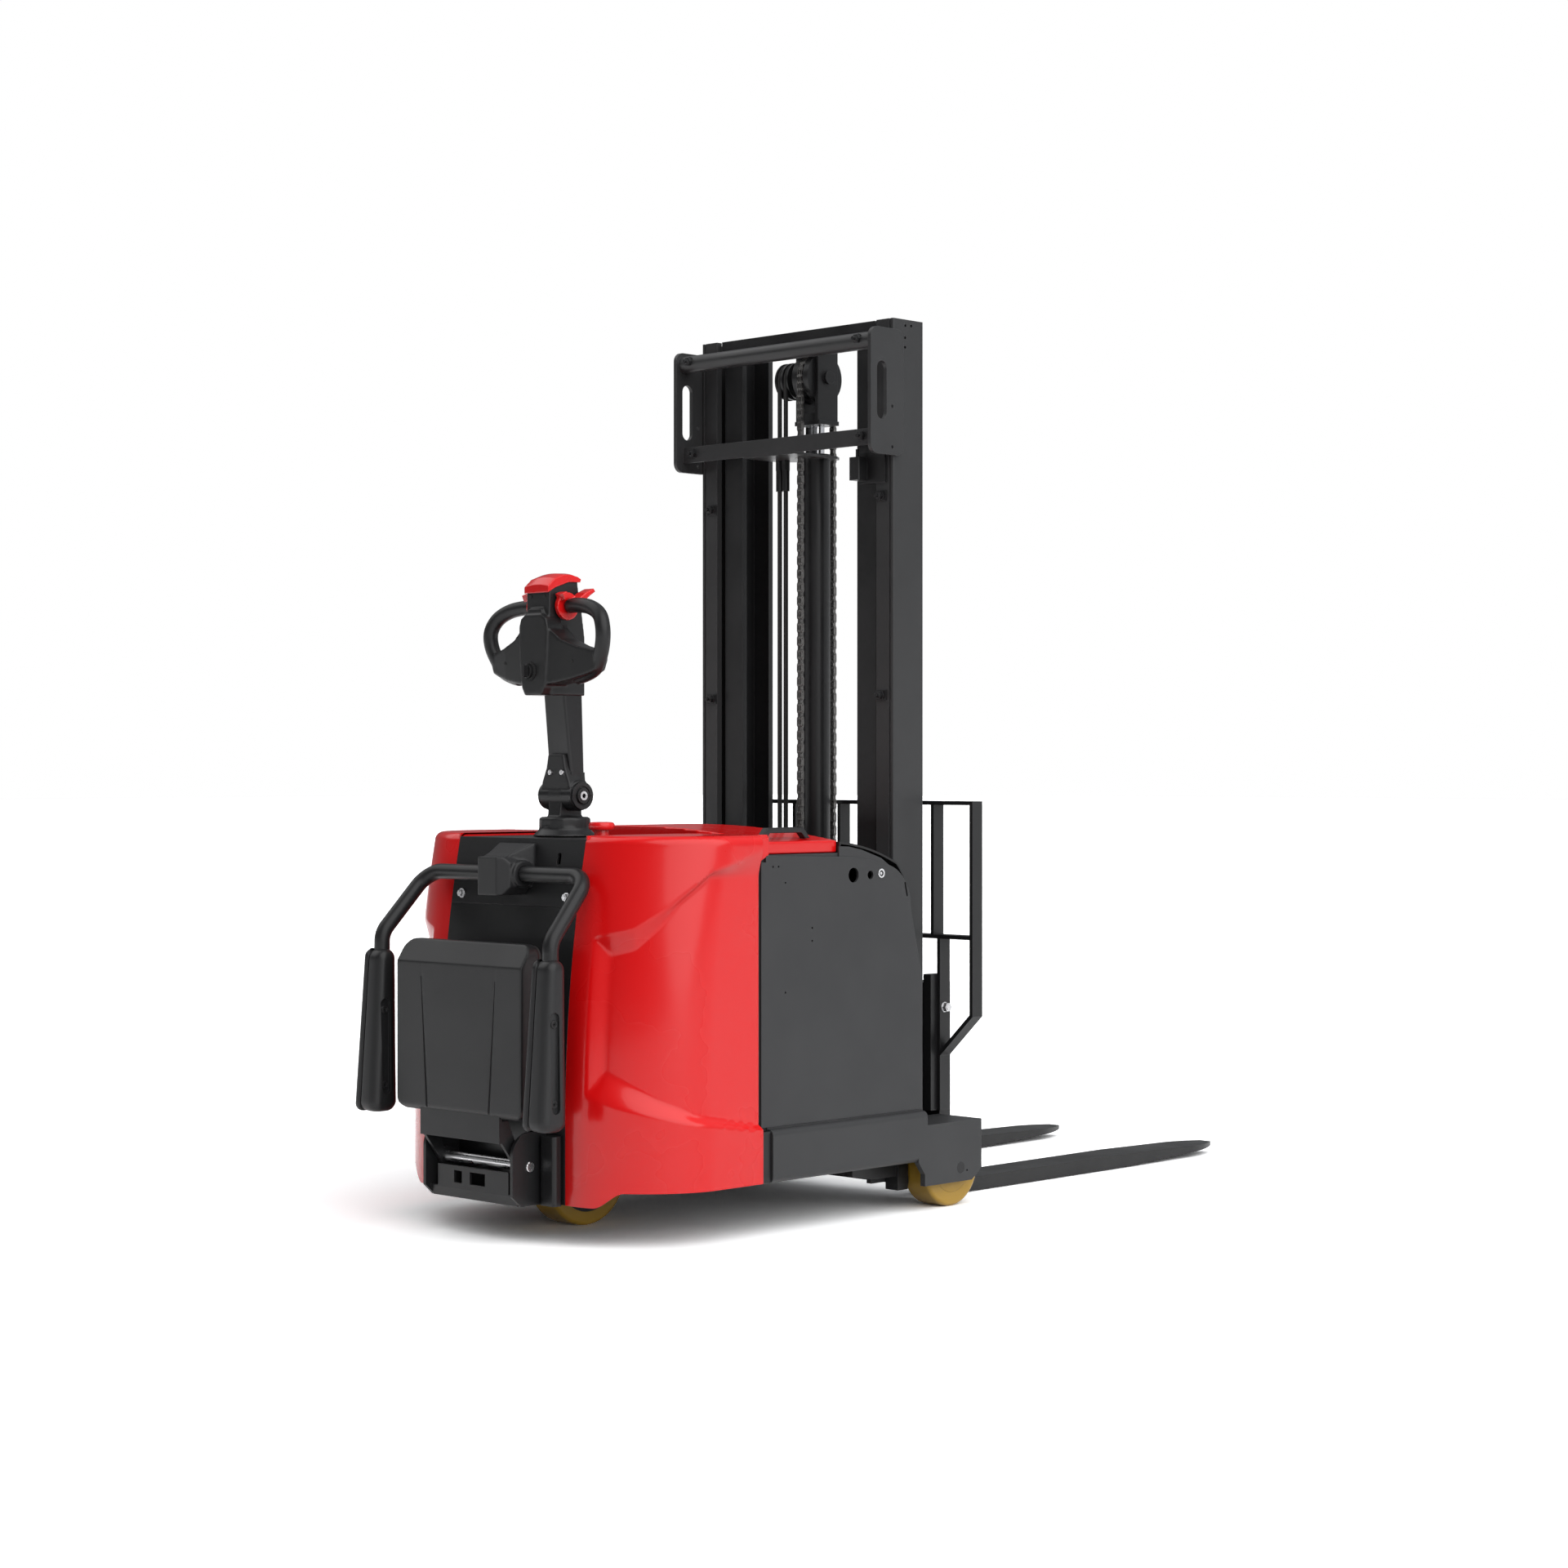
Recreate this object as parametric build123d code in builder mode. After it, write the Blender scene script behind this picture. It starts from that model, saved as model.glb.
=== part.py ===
"""Counterbalance stacker: ride-on electric stacker with a two-stage mast and folding platform.

Forward is +Y, toward the fork tips. Right is +X, up is +Z and the ground is z = 0.
Stations along the machine are counted from the rear face of the mast, forward positive.
"""

import os
from math import sqrt

from build123d import *

os.makedirs("parts", exist_ok=True)

# Driving dimensions, in millimetres.
fork_length = 1070.0  # front of the shank to the tip
fork_spread = 604.0  # over both blades
fork_width = 100.0
fork_thick = 32.0
fork_floor_gap = 3.0
fork_tip_width = 34.0
fork_tip_thick = 10.0
fork_taper = 380.0
shank_thick = 38.0
shank_top = 500.0
shank_front = 211.0

chassis_width = 888.0
panel_width = chassis_width - 32
panel_thick = 6.0
body_wall = 8.0

mast_height = 2030.0
mast_width = 626.0
mast_depth = 104.0
mast_foot = 62.0
foot_thick = 12.0
outer_web = 14.0
outer_flange = 16.0
outer_reach = 52.0
inner_gap = 11.0
inner_web = 12.0
inner_flange = 14.0
inner_reach = 62.0
inner_set = 14.0
inner_bottom = 74.0
tie_thick = 10.0
lift_stroke = 1450.0

lift_y = 76.0
barrel_radius = 32.0
barrel_bore = 24.0
barrel_top = mast_height - 285
rod_radius = 18.0
sheave_z = mast_height - 105
chain_radius = 51.0
chain_thick = 10.0
chain_width = 16.0

axle_y = 84.6
load_wheel_radius = 90.0
load_wheel_width = 73.0
load_axle_radius = 13.5
leg_plate = 14.0

steer_y = -724.0
drive_wheel_radius = 115.0
drive_wheel_width = 75.0
wheel_lead = 36.0

rear_y = -907.0
opening_half = 207.0
cover_top = 857.0
deck_top = 849.0
lid_y = (-523.0, -297.0)
skirt_bottom = 83.0

hinge_y = -953.0
hinge_z = 163.0
platform_half = 205.0
platform_rear = -1027.0
platform_thick = 60.0
platform_low = 267.0
platform_high = 632.0

arm_axis_y = -891.0
arm_axis_z = 773.0
arm_tube_radius = 17.0
pad_x = 277.0
pad_rear = -1061.0
pad_front = -988.0
pad_low = 253.0
pad_high = 606.0

tiller_z = 940.0

run_gap = 0.05  # radial clearance of a running fit
seat_gap = 0.3  # clearance between neighbours that move apart

# The part's origin is at the middle of its length, between the arm pads and the fork tips.
mast_y = (-pad_rear - (shank_front + fork_length)) / 2
half_width = chassis_width / 2
panel_x = panel_width / 2


def across(x):
    """Upright plane at x: sketches run forward from the mast, then up."""
    return Plane(origin=(x, mast_y, 0), x_dir=(0, 1, 0), z_dir=(1, 0, 0))


def facing_rear(y):
    """Upright plane at a station, facing the rear: sketches run right, then up."""
    return Plane(origin=(0, mast_y + y, 0), x_dir=(1, 0, 0), z_dir=(0, -1, 0))


def level(z):
    """Horizontal plane at a height: sketches run right, then forward from the mast."""
    return Plane(origin=(0, mast_y, z))


def block(x, y, z, mode=Mode.ADD):
    """Plate or bar between the two ends given for each direction."""
    middle = ((x[0] + x[1]) / 2, mast_y + (y[0] + y[1]) / 2, (z[0] + z[1]) / 2)
    with Locations(middle):
        Box(abs(x[1] - x[0]), abs(y[1] - y[0]), abs(z[1] - z[0]), mode=mode)


def cross_bar(radius, x, y, z, mode=Mode.ADD):
    """Round bar or bore that lies across the machine between two x values."""
    with Locations(Location(((x[0] + x[1]) / 2, mast_y + y, z), (0, 90, 0))):
        Cylinder(radius, abs(x[1] - x[0]), mode=mode)


def post(radius, x, y, z, mode=Mode.ADD):
    """Upright round bar or bore between two heights."""
    with Locations((x, mast_y + y, (z[0] + z[1]) / 2)):
        Cylinder(radius, abs(z[1] - z[0]), mode=mode)


def along(radius, x, y, z, mode=Mode.ADD):
    """Round bar or bore that lies along the machine between two stations."""
    with Locations(Location((x, mast_y + (y[0] + y[1]) / 2, z), (90, 0, 0))):
        Cylinder(radius, abs(y[1] - y[0]), mode=mode)


def both_ways(inner, outer):
    """The two x ranges, left and right, of a pair that is mirrored about the middle."""
    return [(-outer, -inner), (inner, outer)]


def finish(piece, name):
    piece.label = name
    export_step(piece, f"parts/{name}.step")


# Rear body line: upright up to lean_from, then an arc that leans forward to the deck.
lean_from = 250.0
lean_radius = 3050.0


def rear_line(z, inset=0.0):
    """Station of the rear body face at a height, moved forward by inset."""
    rise = max(0.0, z - lean_from)
    return rear_y + inset + lean_radius - sqrt(lean_radius**2 - rise**2)


# Chassis: side rails, wheel legs, floor and bulkheads, welded from plate and section.
rail_height = 114.0
rail_low = 114.0
rail_high = rail_low + rail_height
rail_width = 60.0
rail_wall = 6.0
rail_radius = 14.0
rail_rear = -526.0
rail_front = -29.0
leg_front = 157.0
leg_top = 196.0
leg_low = 59.0
leg_roof = 10.0
floor_thick = 8.0
bulkhead_top = 600.0
bulkhead_y = (-30.0, -tie_thick)
leg_inner = mast_width / 2
lid_low = 814.0
lid_seat = lid_low - seat_gap
seam_post = (-550.0, rail_rear)
battery_y = (-512.0, -300.0)
divider_y = (battery_y[1] + seat_gap, battery_y[1] + 8 - seat_gap)
panel_low = 232.0

with BuildPart() as chassis_frame:
    for hand in (-1, 1):
        with BuildSketch(facing_rear(rail_front)):
            with Locations((hand * (half_width - rail_width / 2), (rail_low + rail_high) / 2)):
                RectangleRounded(rail_width, rail_height, rail_radius)
                RectangleRounded(
                    rail_width - 2 * rail_wall,
                    rail_height - 2 * rail_wall,
                    rail_radius - rail_wall,
                    mode=Mode.SUBTRACT,
                )
        extrude(amount=rail_front - rail_rear)
        outer_x = min(hand * half_width, hand * (half_width - leg_plate))
        with BuildSketch(across(outer_x)):
            with BuildLine():
                Polyline(
                    (rail_front - 30, rail_low),
                    (rail_front - 9, leg_low + 27),
                    (rail_front - 9, leg_low),
                    (leg_front - 34, leg_low),
                    (leg_front, leg_low + 23),
                    (leg_front, leg_top),
                    (rail_front - 30, leg_top),
                    close=True,
                )
            make_face()
            with Locations((axle_y, load_wheel_radius)):
                Circle(load_axle_radius + run_gap, mode=Mode.SUBTRACT)
            with Locations((axle_y + 22, load_wheel_radius - 8)):
                Circle(2.5, mode=Mode.SUBTRACT)
        extrude(amount=leg_plate)
        inner_x = min(hand * leg_inner, hand * (leg_inner + leg_plate))
        with BuildSketch(across(inner_x)):
            with BuildLine():
                Polyline(
                    (rail_front - 61, leg_low),
                    (leg_front, leg_low),
                    (leg_front, leg_top),
                    (rail_front - 61, leg_top),
                    close=True,
                )
            make_face()
            with Locations((axle_y, load_wheel_radius)):
                Circle(load_axle_radius + run_gap, mode=Mode.SUBTRACT)
        extrude(amount=leg_plate)
        roof_x = sorted((hand * (leg_inner + leg_plate), hand * (half_width - leg_plate)))
        block(roof_x, (rail_front, leg_front), (leg_top - leg_roof, leg_top))
        block(roof_x, (rail_front - 30, rail_front), (rail_low, leg_top))
    floor_x = half_width - rail_width
    block((-floor_x, floor_x), (rail_rear, bulkhead_y[1]), (rail_low, rail_low + floor_thick))
    block((-leg_inner, leg_inner), bulkhead_y, (leg_low, bulkhead_top))
    block((-floor_x, floor_x), (rail_rear, rail_rear + floor_thick), (rail_low, lid_seat))
    block((-floor_x, floor_x), divider_y, (rail_low, lid_seat))
    for ends in both_ways(floor_x - 2, panel_x - panel_thick - seat_gap):
        block(ends, (seam_post[0], rail_rear + floor_thick), (rail_high - rail_wall / 2, lid_seat))
        block(ends, (seam_post[0], divider_y[1]), (lid_seat - floor_thick, lid_seat))
    for ends in both_ways(panel_x - 18, panel_x - 2):
        block(ends, (rail_rear, rail_front - 8), (rail_high - 1, panel_low - seat_gap))
finish(chassis_frame.part, "chassis_frame")

# Rear subframe: cheeks, rear plate and the deck plate that carries the steering bearing.
cheek_x = half_width - 206
cheek_plate = 8.0
turret_z = 330.0
turret_plate = 12.0
turret_bore = 60.0
rail_end_z = (rail_low + 2, rail_high - rail_wall / 2 - seat_gap)

with BuildPart() as rear_subframe:
    rear_inside = rear_y + body_wall
    for ends in both_ways(cheek_x - cheek_plate, cheek_x):
        block(ends, (rear_inside + turret_plate, rail_rear), (rail_low, turret_z))
    block((-cheek_x, cheek_x), (rear_inside, rear_inside + turret_plate), (skirt_bottom + 7, lean_from))
    block(
        (-cheek_x, cheek_x),
        (rear_inside + turret_plate, rail_rear),
        (turret_z - turret_plate, turret_z),
    )
    for ends in both_ways(cheek_x - cheek_plate, half_width - 6):
        block(ends, (rail_rear - turret_plate, rail_rear - seat_gap), rail_end_z)
    for ends in both_ways(floor_x + 5, half_width - 6):
        block(ends, (seam_post[0], rail_rear - seat_gap), rail_end_z)
    post(turret_bore + run_gap, 0, steer_y, (turret_z - 2 * turret_plate, turret_z), Mode.SUBTRACT)
finish(rear_subframe.part, "rear_subframe")

# Counterweight: one casting on the floor ahead of the battery, chamfered under the cowl.
weight_top = 740.0
weight_half = half_width - 68
weight_chamfer = 90.0
weight_y = (battery_y[1] + 8, rail_front - 66)

with BuildPart() as counterweight:
    block(
        (-weight_half, weight_half),
        weight_y,
        (rail_low + floor_thick, weight_top),
    )
    top_front = counterweight.edges().filter_by(Axis.X).group_by(Axis.Z)[-1].sort_by(Axis.Y)[-1]
    chamfer(top_front, weight_chamfer)
    fillet(counterweight.edges().filter_by(Axis.Z), 12)
    for x in (-weight_half / 2, weight_half / 2):
        post(20, x, weight_y[0] + 50, (weight_top - 80, weight_top), Mode.SUBTRACT)
finish(counterweight.part, "counterweight")

# Battery: tray with a grid of cells, their plugs and the bars that link them.
battery_half = half_width - 68
tray_top = 690.0
cell_top = 728.0
cell_columns = 6
cell_rows = 2
cell_gap = 3.0

with BuildPart() as battery:
    block((-battery_half, battery_half), battery_y, (rail_low + floor_thick, tray_top))
    fillet(battery.edges().filter_by(Axis.Z), 8)
    cell_x = (2 * battery_half - 24) / cell_columns
    cell_y = (battery_y[1] - battery_y[0] - 24) / cell_rows
    battery_mid = (battery_y[0] + battery_y[1]) / 2
    with BuildSketch(level(tray_top)):
        with Locations((0, battery_mid)):
            with GridLocations(cell_x, cell_y, cell_columns, cell_rows):
                Rectangle(cell_x - cell_gap, cell_y - cell_gap)
    extrude(amount=cell_top - tray_top)
    with BuildSketch(level(cell_top)):
        with Locations((0, battery_mid)):
            with GridLocations(cell_x, cell_y, cell_columns, cell_rows):
                Circle(13)
    extrude(amount=10)
    with BuildSketch(level(cell_top)):
        with Locations((cell_x / 2, battery_mid)):
            with GridLocations(cell_x, cell_y, cell_columns - 1, cell_rows):
                with Locations((0, 30)):
                    Rectangle(40, 14)
    extrude(amount=6)
finish(battery.part, "battery")

# Side panels: flat steel covers from the rail to the cowl, with lock and access holes.
panel_rear = -546.0
panel_notch = (-532.0, 798.0)
panel_top = 812.0
panel_holes = ((-257, 764, 16.5), (-202, 763, 9.5), (-167, 766, 11.0))
panel_pins = ((-510, 788), (-493, 788), (-472, 753), (-389, 653), (-389, 625), (-472, 517))

for name, x0 in (("right", panel_x - panel_thick), ("left", -panel_x)):
    with BuildPart() as side_panel:
        with BuildSketch(across(x0)):
            with BuildLine():
                Polyline(
                    (-31, 531),
                    (-31, panel_low),
                    (panel_rear, panel_low),
                    (panel_rear, panel_notch[1]),
                    panel_notch,
                    (panel_notch[0], panel_top),
                    (-316, 806),
                )
                ThreePointArc((-316, 806), (-225, 800), (-135, 782))
                ThreePointArc((-135, 782), (-88, 748), (-69, 689))
                Line((-69, 689), (-31, 531))
            make_face()
            for y, z, radius in panel_holes:
                with Locations((y, z)):
                    Circle(radius, mode=Mode.SUBTRACT)
            with Locations(*panel_pins):
                Circle(2.5, mode=Mode.SUBTRACT)
            with Locations((-84, 728)):
                SlotOverall(34, 5, rotation=104, mode=Mode.SUBTRACT)
        extrude(amount=panel_thick)
    finish(side_panel.part, f"side_panel_{name}")

# Rear covers: moulded wings around the rear corners, with a scoop below the shoulder line.
cover_front = -553.0
corner_start = 190.0
corner_mid = (72.0, 66.0)
corner_end = 200.0
scoop_depth = 15.0
scoop_inner = half_width - 144
step_x = half_width - 104
step_bottom = 116.0
cover_sections = (skirt_bottom, lean_from, 550.0, cover_top)
panel_seam = 0.5


def cover_outline(z, wall):
    """Plan of a right wing at a height: rear face, swept corner and straight side."""
    rear = rear_line(z) + wall
    side = half_width - wall
    Polyline(
        (side, cover_front),
        (opening_half, cover_front),
        (opening_half, rear),
        (side - corner_end, rear),
    )
    ThreePointArc(
        (side - corner_end, rear),
        (side - corner_mid[0], rear + corner_mid[1]),
        (side, rear + corner_start),
    )
    Line((side, rear + corner_start), (side, cover_front))


def cover_solid(wall, low, high):
    """Closed wing, inset by wall, as a loft through its level sections."""
    with BuildPart() as wing:
        for z in (low, *cover_sections[1:-1], high):
            with BuildSketch(level(z)):
                with BuildLine():
                    cover_outline(z, wall)
                make_face()
        loft()
    return wing.part


def scoop_region(margin):
    """Everything beside the scoop's outline in the side view, grown by margin."""
    with BuildPart() as region:
        with BuildSketch(across(scoop_inner - margin)):
            with BuildLine():
                low = Polyline((-940, 318), (-808, 288), (-689, 262), (cover_front + 8, 235))
                Line(low @ 1, (cover_front + 8, 829))
                ThreePointArc((cover_front + 8, 829), (-700, 785), (-831, 718))
                ThreePointArc((-831, 718), (-880, 680), (-940, 640))
                Line((-940, 640), low @ 0)
            make_face()
            if margin:
                offset(amount=margin)
        extrude(amount=half_width)
    return region.part


outer_shape = cover_solid(0.0, skirt_bottom, cover_top)
scoop = (outer_shape - cover_solid(scoop_depth, skirt_bottom, cover_top)) & scoop_region(0.0)
cavity = cover_solid(body_wall, skirt_bottom, cover_top - body_wall)
deep_cavity = cover_solid(scoop_depth + body_wall, skirt_bottom, cover_top - body_wall)
shoulder_x = panel_x + 2

with BuildPart() as rear_cover:
    add(outer_shape)
    add(scoop, mode=Mode.SUBTRACT)
    add(cavity - scoop_region(body_wall), mode=Mode.SUBTRACT)
    add(deep_cavity, mode=Mode.SUBTRACT)
    step_y = (rear_y - 1, cover_front + 1)
    block((step_x, half_width + 1), step_y, (skirt_bottom - 1, step_bottom), Mode.SUBTRACT)
    shelf_y = (cover_front, lid_y[0] - panel_seam)
    block((opening_half, shoulder_x), shelf_y, (cover_top - body_wall, cover_top))
    edge_x = (panel_x - panel_thick, shoulder_x)
    notch_y = (cover_front, panel_notch[0] - seat_gap)
    block(edge_x, notch_y, (panel_notch[1] + seat_gap, cover_top))
    block(edge_x, shelf_y, (panel_top + 1, cover_top))
finish(rear_cover.part, "rear_cover_right")
finish(mirror(rear_cover.part, about=Plane.YZ), "rear_cover_left")

# Rear panel: steel plate between the wings, following the rear body line.
shroud_low = 705.0


def rear_strip(low, high, wall):
    """Side profile of a plate on the rear body line between two heights."""
    middle = (max(low, lean_from) + high) / 2
    if low < lean_from:
        Line((rear_y, low), (rear_y, lean_from))
    ThreePointArc(
        (rear_line(max(low, lean_from)), max(low, lean_from)),
        (rear_line(middle), middle),
        (rear_line(high), high),
    )
    Line((rear_line(high), high), (rear_line(high) + wall, high))
    ThreePointArc(
        (rear_line(high) + wall, high),
        (rear_line(middle) + wall, middle),
        (rear_line(max(low, lean_from)) + wall, max(low, lean_from)),
    )
    if low < lean_from:
        Line((rear_y + wall, lean_from), (rear_y + wall, low))
    Line((rear_line(low) + wall, low), (rear_line(low), low))


bolt_x = 172.0
bolt_z = 726.0
panel_half = opening_half - panel_seam

with BuildPart() as rear_panel:
    with BuildSketch(across(-panel_half)):
        with BuildLine():
            rear_strip(skirt_bottom, shroud_low - panel_seam, body_wall)
        make_face()
    extrude(amount=2 * panel_half)
finish(rear_panel.part, "rear_panel")

# Deck shroud: moulded cover over the drive bay, open around the steering column.
deck_front = -530.0
deck_wall = 6.0
boot_radius = 69.0
column_radius = 28.0
column_hole = 52.0
stop_x = 150.0
stop_y = -752.0
stop_stem = 11.0

with BuildPart() as deck_shroud:
    with BuildSketch(across(-panel_half)):
        with BuildLine():
            rear_strip(shroud_low, deck_top, deck_wall)
        make_face()
    extrude(amount=2 * panel_half)
    block((-panel_half, panel_half), (rear_line(deck_top), deck_front), (deck_top - deck_wall, deck_top))
    post(column_hole, 0, steer_y, (deck_top - deck_wall - 1, deck_top + 1), Mode.SUBTRACT)
    post(stop_stem + run_gap, stop_x, stop_y, (deck_top - deck_wall - 1, deck_top + 1), Mode.SUBTRACT)
    with BuildSketch(facing_rear(rear_y)):
        with Locations((130, 806)):
            SlotOverall(26, 12, rotation=90)
        with Locations((-bolt_x, bolt_z), (bolt_x, bolt_z)):
            Circle(8)
    extrude(amount=-90, mode=Mode.SUBTRACT)
finish(deck_shroud.part, "deck_shroud")

# Stop button: mushroom on the deck, pushed down on its stem.
stop_travel = 6.0
with BuildPart() as stop_button:
    post(28, stop_x, stop_y, (deck_top + stop_travel + 8, deck_top + stop_travel + 23))
    fillet(stop_button.edges().filter_by(GeomType.CIRCLE), 5)
    post(stop_stem, stop_x, stop_y, (deck_top - 12, deck_top + stop_travel + 9))
finish(stop_button.part, "stop_button")

# Battery lid: crowned moulding hinged along its left edge.
lid_edge = 841.0
lid_crown = 872.0
lid_half = panel_x - 14
lid_wall = 8.0
lid_pin_x = -lid_half - 3.4
lid_pin_z = lid_low + 3.4
lid_pin_radius = 2.0
knuckle_radius = 3.3
knuckle_long = 30.0
knuckle_y = [lid_y[0] + 8 + step * (knuckle_long + 0.5) for step in range(7)]


def lid_profile(drop):
    """Front view of the lid's crown, lowered by drop and drawn in by it."""
    Polyline(
        (-lid_half + drop, lid_edge - drop),
        (-lid_half + drop, lid_low - 1 if drop else lid_low),
        (lid_half - drop, lid_low - 1 if drop else lid_low),
        (lid_half - drop, lid_edge - drop),
    )
    ThreePointArc(
        (lid_half - drop, lid_edge - drop),
        (0, lid_crown - drop),
        (-lid_half + drop, lid_edge - drop),
    )


with BuildPart() as battery_lid:
    with BuildSketch(facing_rear(lid_y[0])):
        with BuildLine():
            lid_profile(0.0)
        make_face()
    extrude(amount=-(lid_y[1] - lid_y[0]))
    with BuildSketch(facing_rear(lid_y[0] + lid_wall)):
        with BuildLine():
            lid_profile(lid_wall)
        make_face()
    extrude(amount=-(lid_y[1] - lid_y[0] - 2 * lid_wall), mode=Mode.SUBTRACT)
    for y in knuckle_y[1::2]:
        web_z = (lid_pin_z - knuckle_radius, lid_pin_z + knuckle_radius)
        block((lid_pin_x, -lid_half + 1), (y, y + knuckle_long), web_z)
        along(knuckle_radius, lid_pin_x, (y, y + knuckle_long), lid_pin_z)
        bore_y = (y - 1, y + knuckle_long + 1)
        along(lid_pin_radius + run_gap, lid_pin_x, bore_y, lid_pin_z, Mode.SUBTRACT)
finish(battery_lid.part, "battery_lid")

# Lid hinge: pin and fixed knuckles on the frame beside the lid's left edge.
with BuildPart() as lid_hinge:
    along(lid_pin_radius, lid_pin_x, (knuckle_y[0], knuckle_y[-1] + knuckle_long), lid_pin_z)
    for y in knuckle_y[::2]:
        along(knuckle_radius, lid_pin_x, (y, y + knuckle_long), lid_pin_z)
finish(lid_hinge.part, "lid_hinge")

# Lid handle: bridge grip along the right edge of the lid.
handle_x = lid_half - 26
handle_y = (-515.0, -362.0)
handle_top = 871.0
handle_bar = 12.0
handle_half = 9.0


def lid_surface(x):
    """Height of the lid's outer crown at x."""
    rise = lid_crown - lid_edge
    radius = (lid_half**2 + rise**2) / (2 * rise)
    return lid_crown - radius + sqrt(radius**2 - x**2)


with BuildPart() as lid_handle:
    foot_z = lid_surface(handle_x - handle_half) + seat_gap
    with BuildSketch(across(handle_x - handle_half)):
        with BuildLine():
            Polyline(
                (handle_y[0], foot_z),
                (handle_y[0] + 22, handle_top),
                (handle_y[1] - 22, handle_top),
                (handle_y[1], foot_z),
                (handle_y[1] - 16, foot_z),
                (handle_y[1] - 28, handle_top - handle_bar),
                (handle_y[0] + 28, handle_top - handle_bar),
                (handle_y[0] + 16, foot_z),
                close=True,
            )
        make_face()
    extrude(amount=2 * handle_half)
    fillet(lid_handle.edges().filter_by(Axis.X).group_by(Axis.Z)[-1], 6)
finish(lid_handle.part, "lid_handle")

# Front cowl: curved moulding from the lid down to the back of the mast.
cowl_half = panel_x - panel_thick - panel_seam
cowl_wall = 5.0


def cowl_curve(inset):
    """Upper and front line of the cowl in the side view, moved inward by inset."""
    ThreePointArc((-296, 838 - inset), (-200, 822 - inset), (-110, 790 - inset))
    ThreePointArc(
        (-110, 790 - inset),
        (-84 - inset * 0.7, 758 - inset * 0.7),
        (-70 - inset, 700),
    )
    Line((-70 - inset, 700), (-52 - inset, 620))


with BuildPart() as front_cowl:
    with BuildSketch(across(-cowl_half)):
        with BuildLine():
            cowl_curve(0.0)
            Line((-52, 620), (-52 - cowl_wall, 620))
            cowl_curve(cowl_wall)
            Line((-296, 838 - cowl_wall), (-296, 838))
        make_face()
    extrude(amount=2 * cowl_half)
    block((-cowl_half, cowl_half), (-296, divider_y[1]), (lid_low, 836.0))
finish(front_cowl.part, "front_cowl")

# Outer mast: two rolled channels open inward, tied behind and standing on a foot plate.
mast_half = mast_width / 2
strand_radius = chain_radius + chain_thick / 2
tie_heights = ((150.0, 300.0), (480.0, 640.0))


def channel(outer, web, flange, reach, start, depth):
    """Plan of a right-hand channel that opens toward the middle of the machine."""
    Polyline(
        (outer, start),
        (outer, start + depth),
        (outer - reach, start + depth),
        (outer - reach, start + depth - flange),
        (outer - web, start + depth - flange),
        (outer - web, start + flange),
        (outer - reach, start + flange),
        (outer - reach, start),
        close=True,
    )


with BuildPart() as outer_mast:
    with BuildSketch(level(mast_foot)):
        with BuildLine():
            channel(mast_half, outer_web, outer_flange, outer_reach, 0, mast_depth)
        make_face()
    extrude(amount=mast_height - mast_foot)
    fillet(outer_mast.edges().filter_by(Axis.Z).group_by(Axis.X)[-1], 4)
    block((mast_half - 13, mast_half - 8), (0, 3), (mast_foot, mast_height), Mode.SUBTRACT)
    for y, drop in ((42, 14), (62, 13), (41, 42), (41, 64)):
        bolt_ends = (mast_half - outer_web - 1, mast_half + 1)
        cross_bar(3.5, bolt_ends, y, mast_height - drop, Mode.SUBTRACT)
    mirror(about=Plane.YZ)
    block((-mast_half, mast_half), (0, mast_depth), (mast_foot - foot_thick, mast_foot))
    for heights in tie_heights:
        block((-mast_half + 13, mast_half - 13), (-tie_thick, 0), heights)
    lug_front = lift_y - chain_radius + 4
    block((-20, 20), (0, lug_front), (tie_heights[1][1] - 40, tie_heights[1][1]))
    block((-mast_half - 3, -mast_half), (20, 84), (mast_height - 720, mast_height - 400))
finish(outer_mast.part, "outer_mast")

# Mast guard: side plates, tube, bar and the clamp plate around the cylinder head.
guard_plate = 10.0
guard_y = (-86.0, 25.0)
guard_z = (mast_height - 316, mast_height - 27)
guard_bar_y = -60.0
clamp_z = mast_height - 297
clamp_thick = 6.0
hose_radius = 5.5
hose_xs = (-86.0, -66.0)
hose_wrap = 38.0
hose_rear = lift_y - hose_wrap
fitting_radius = 9.0

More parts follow.
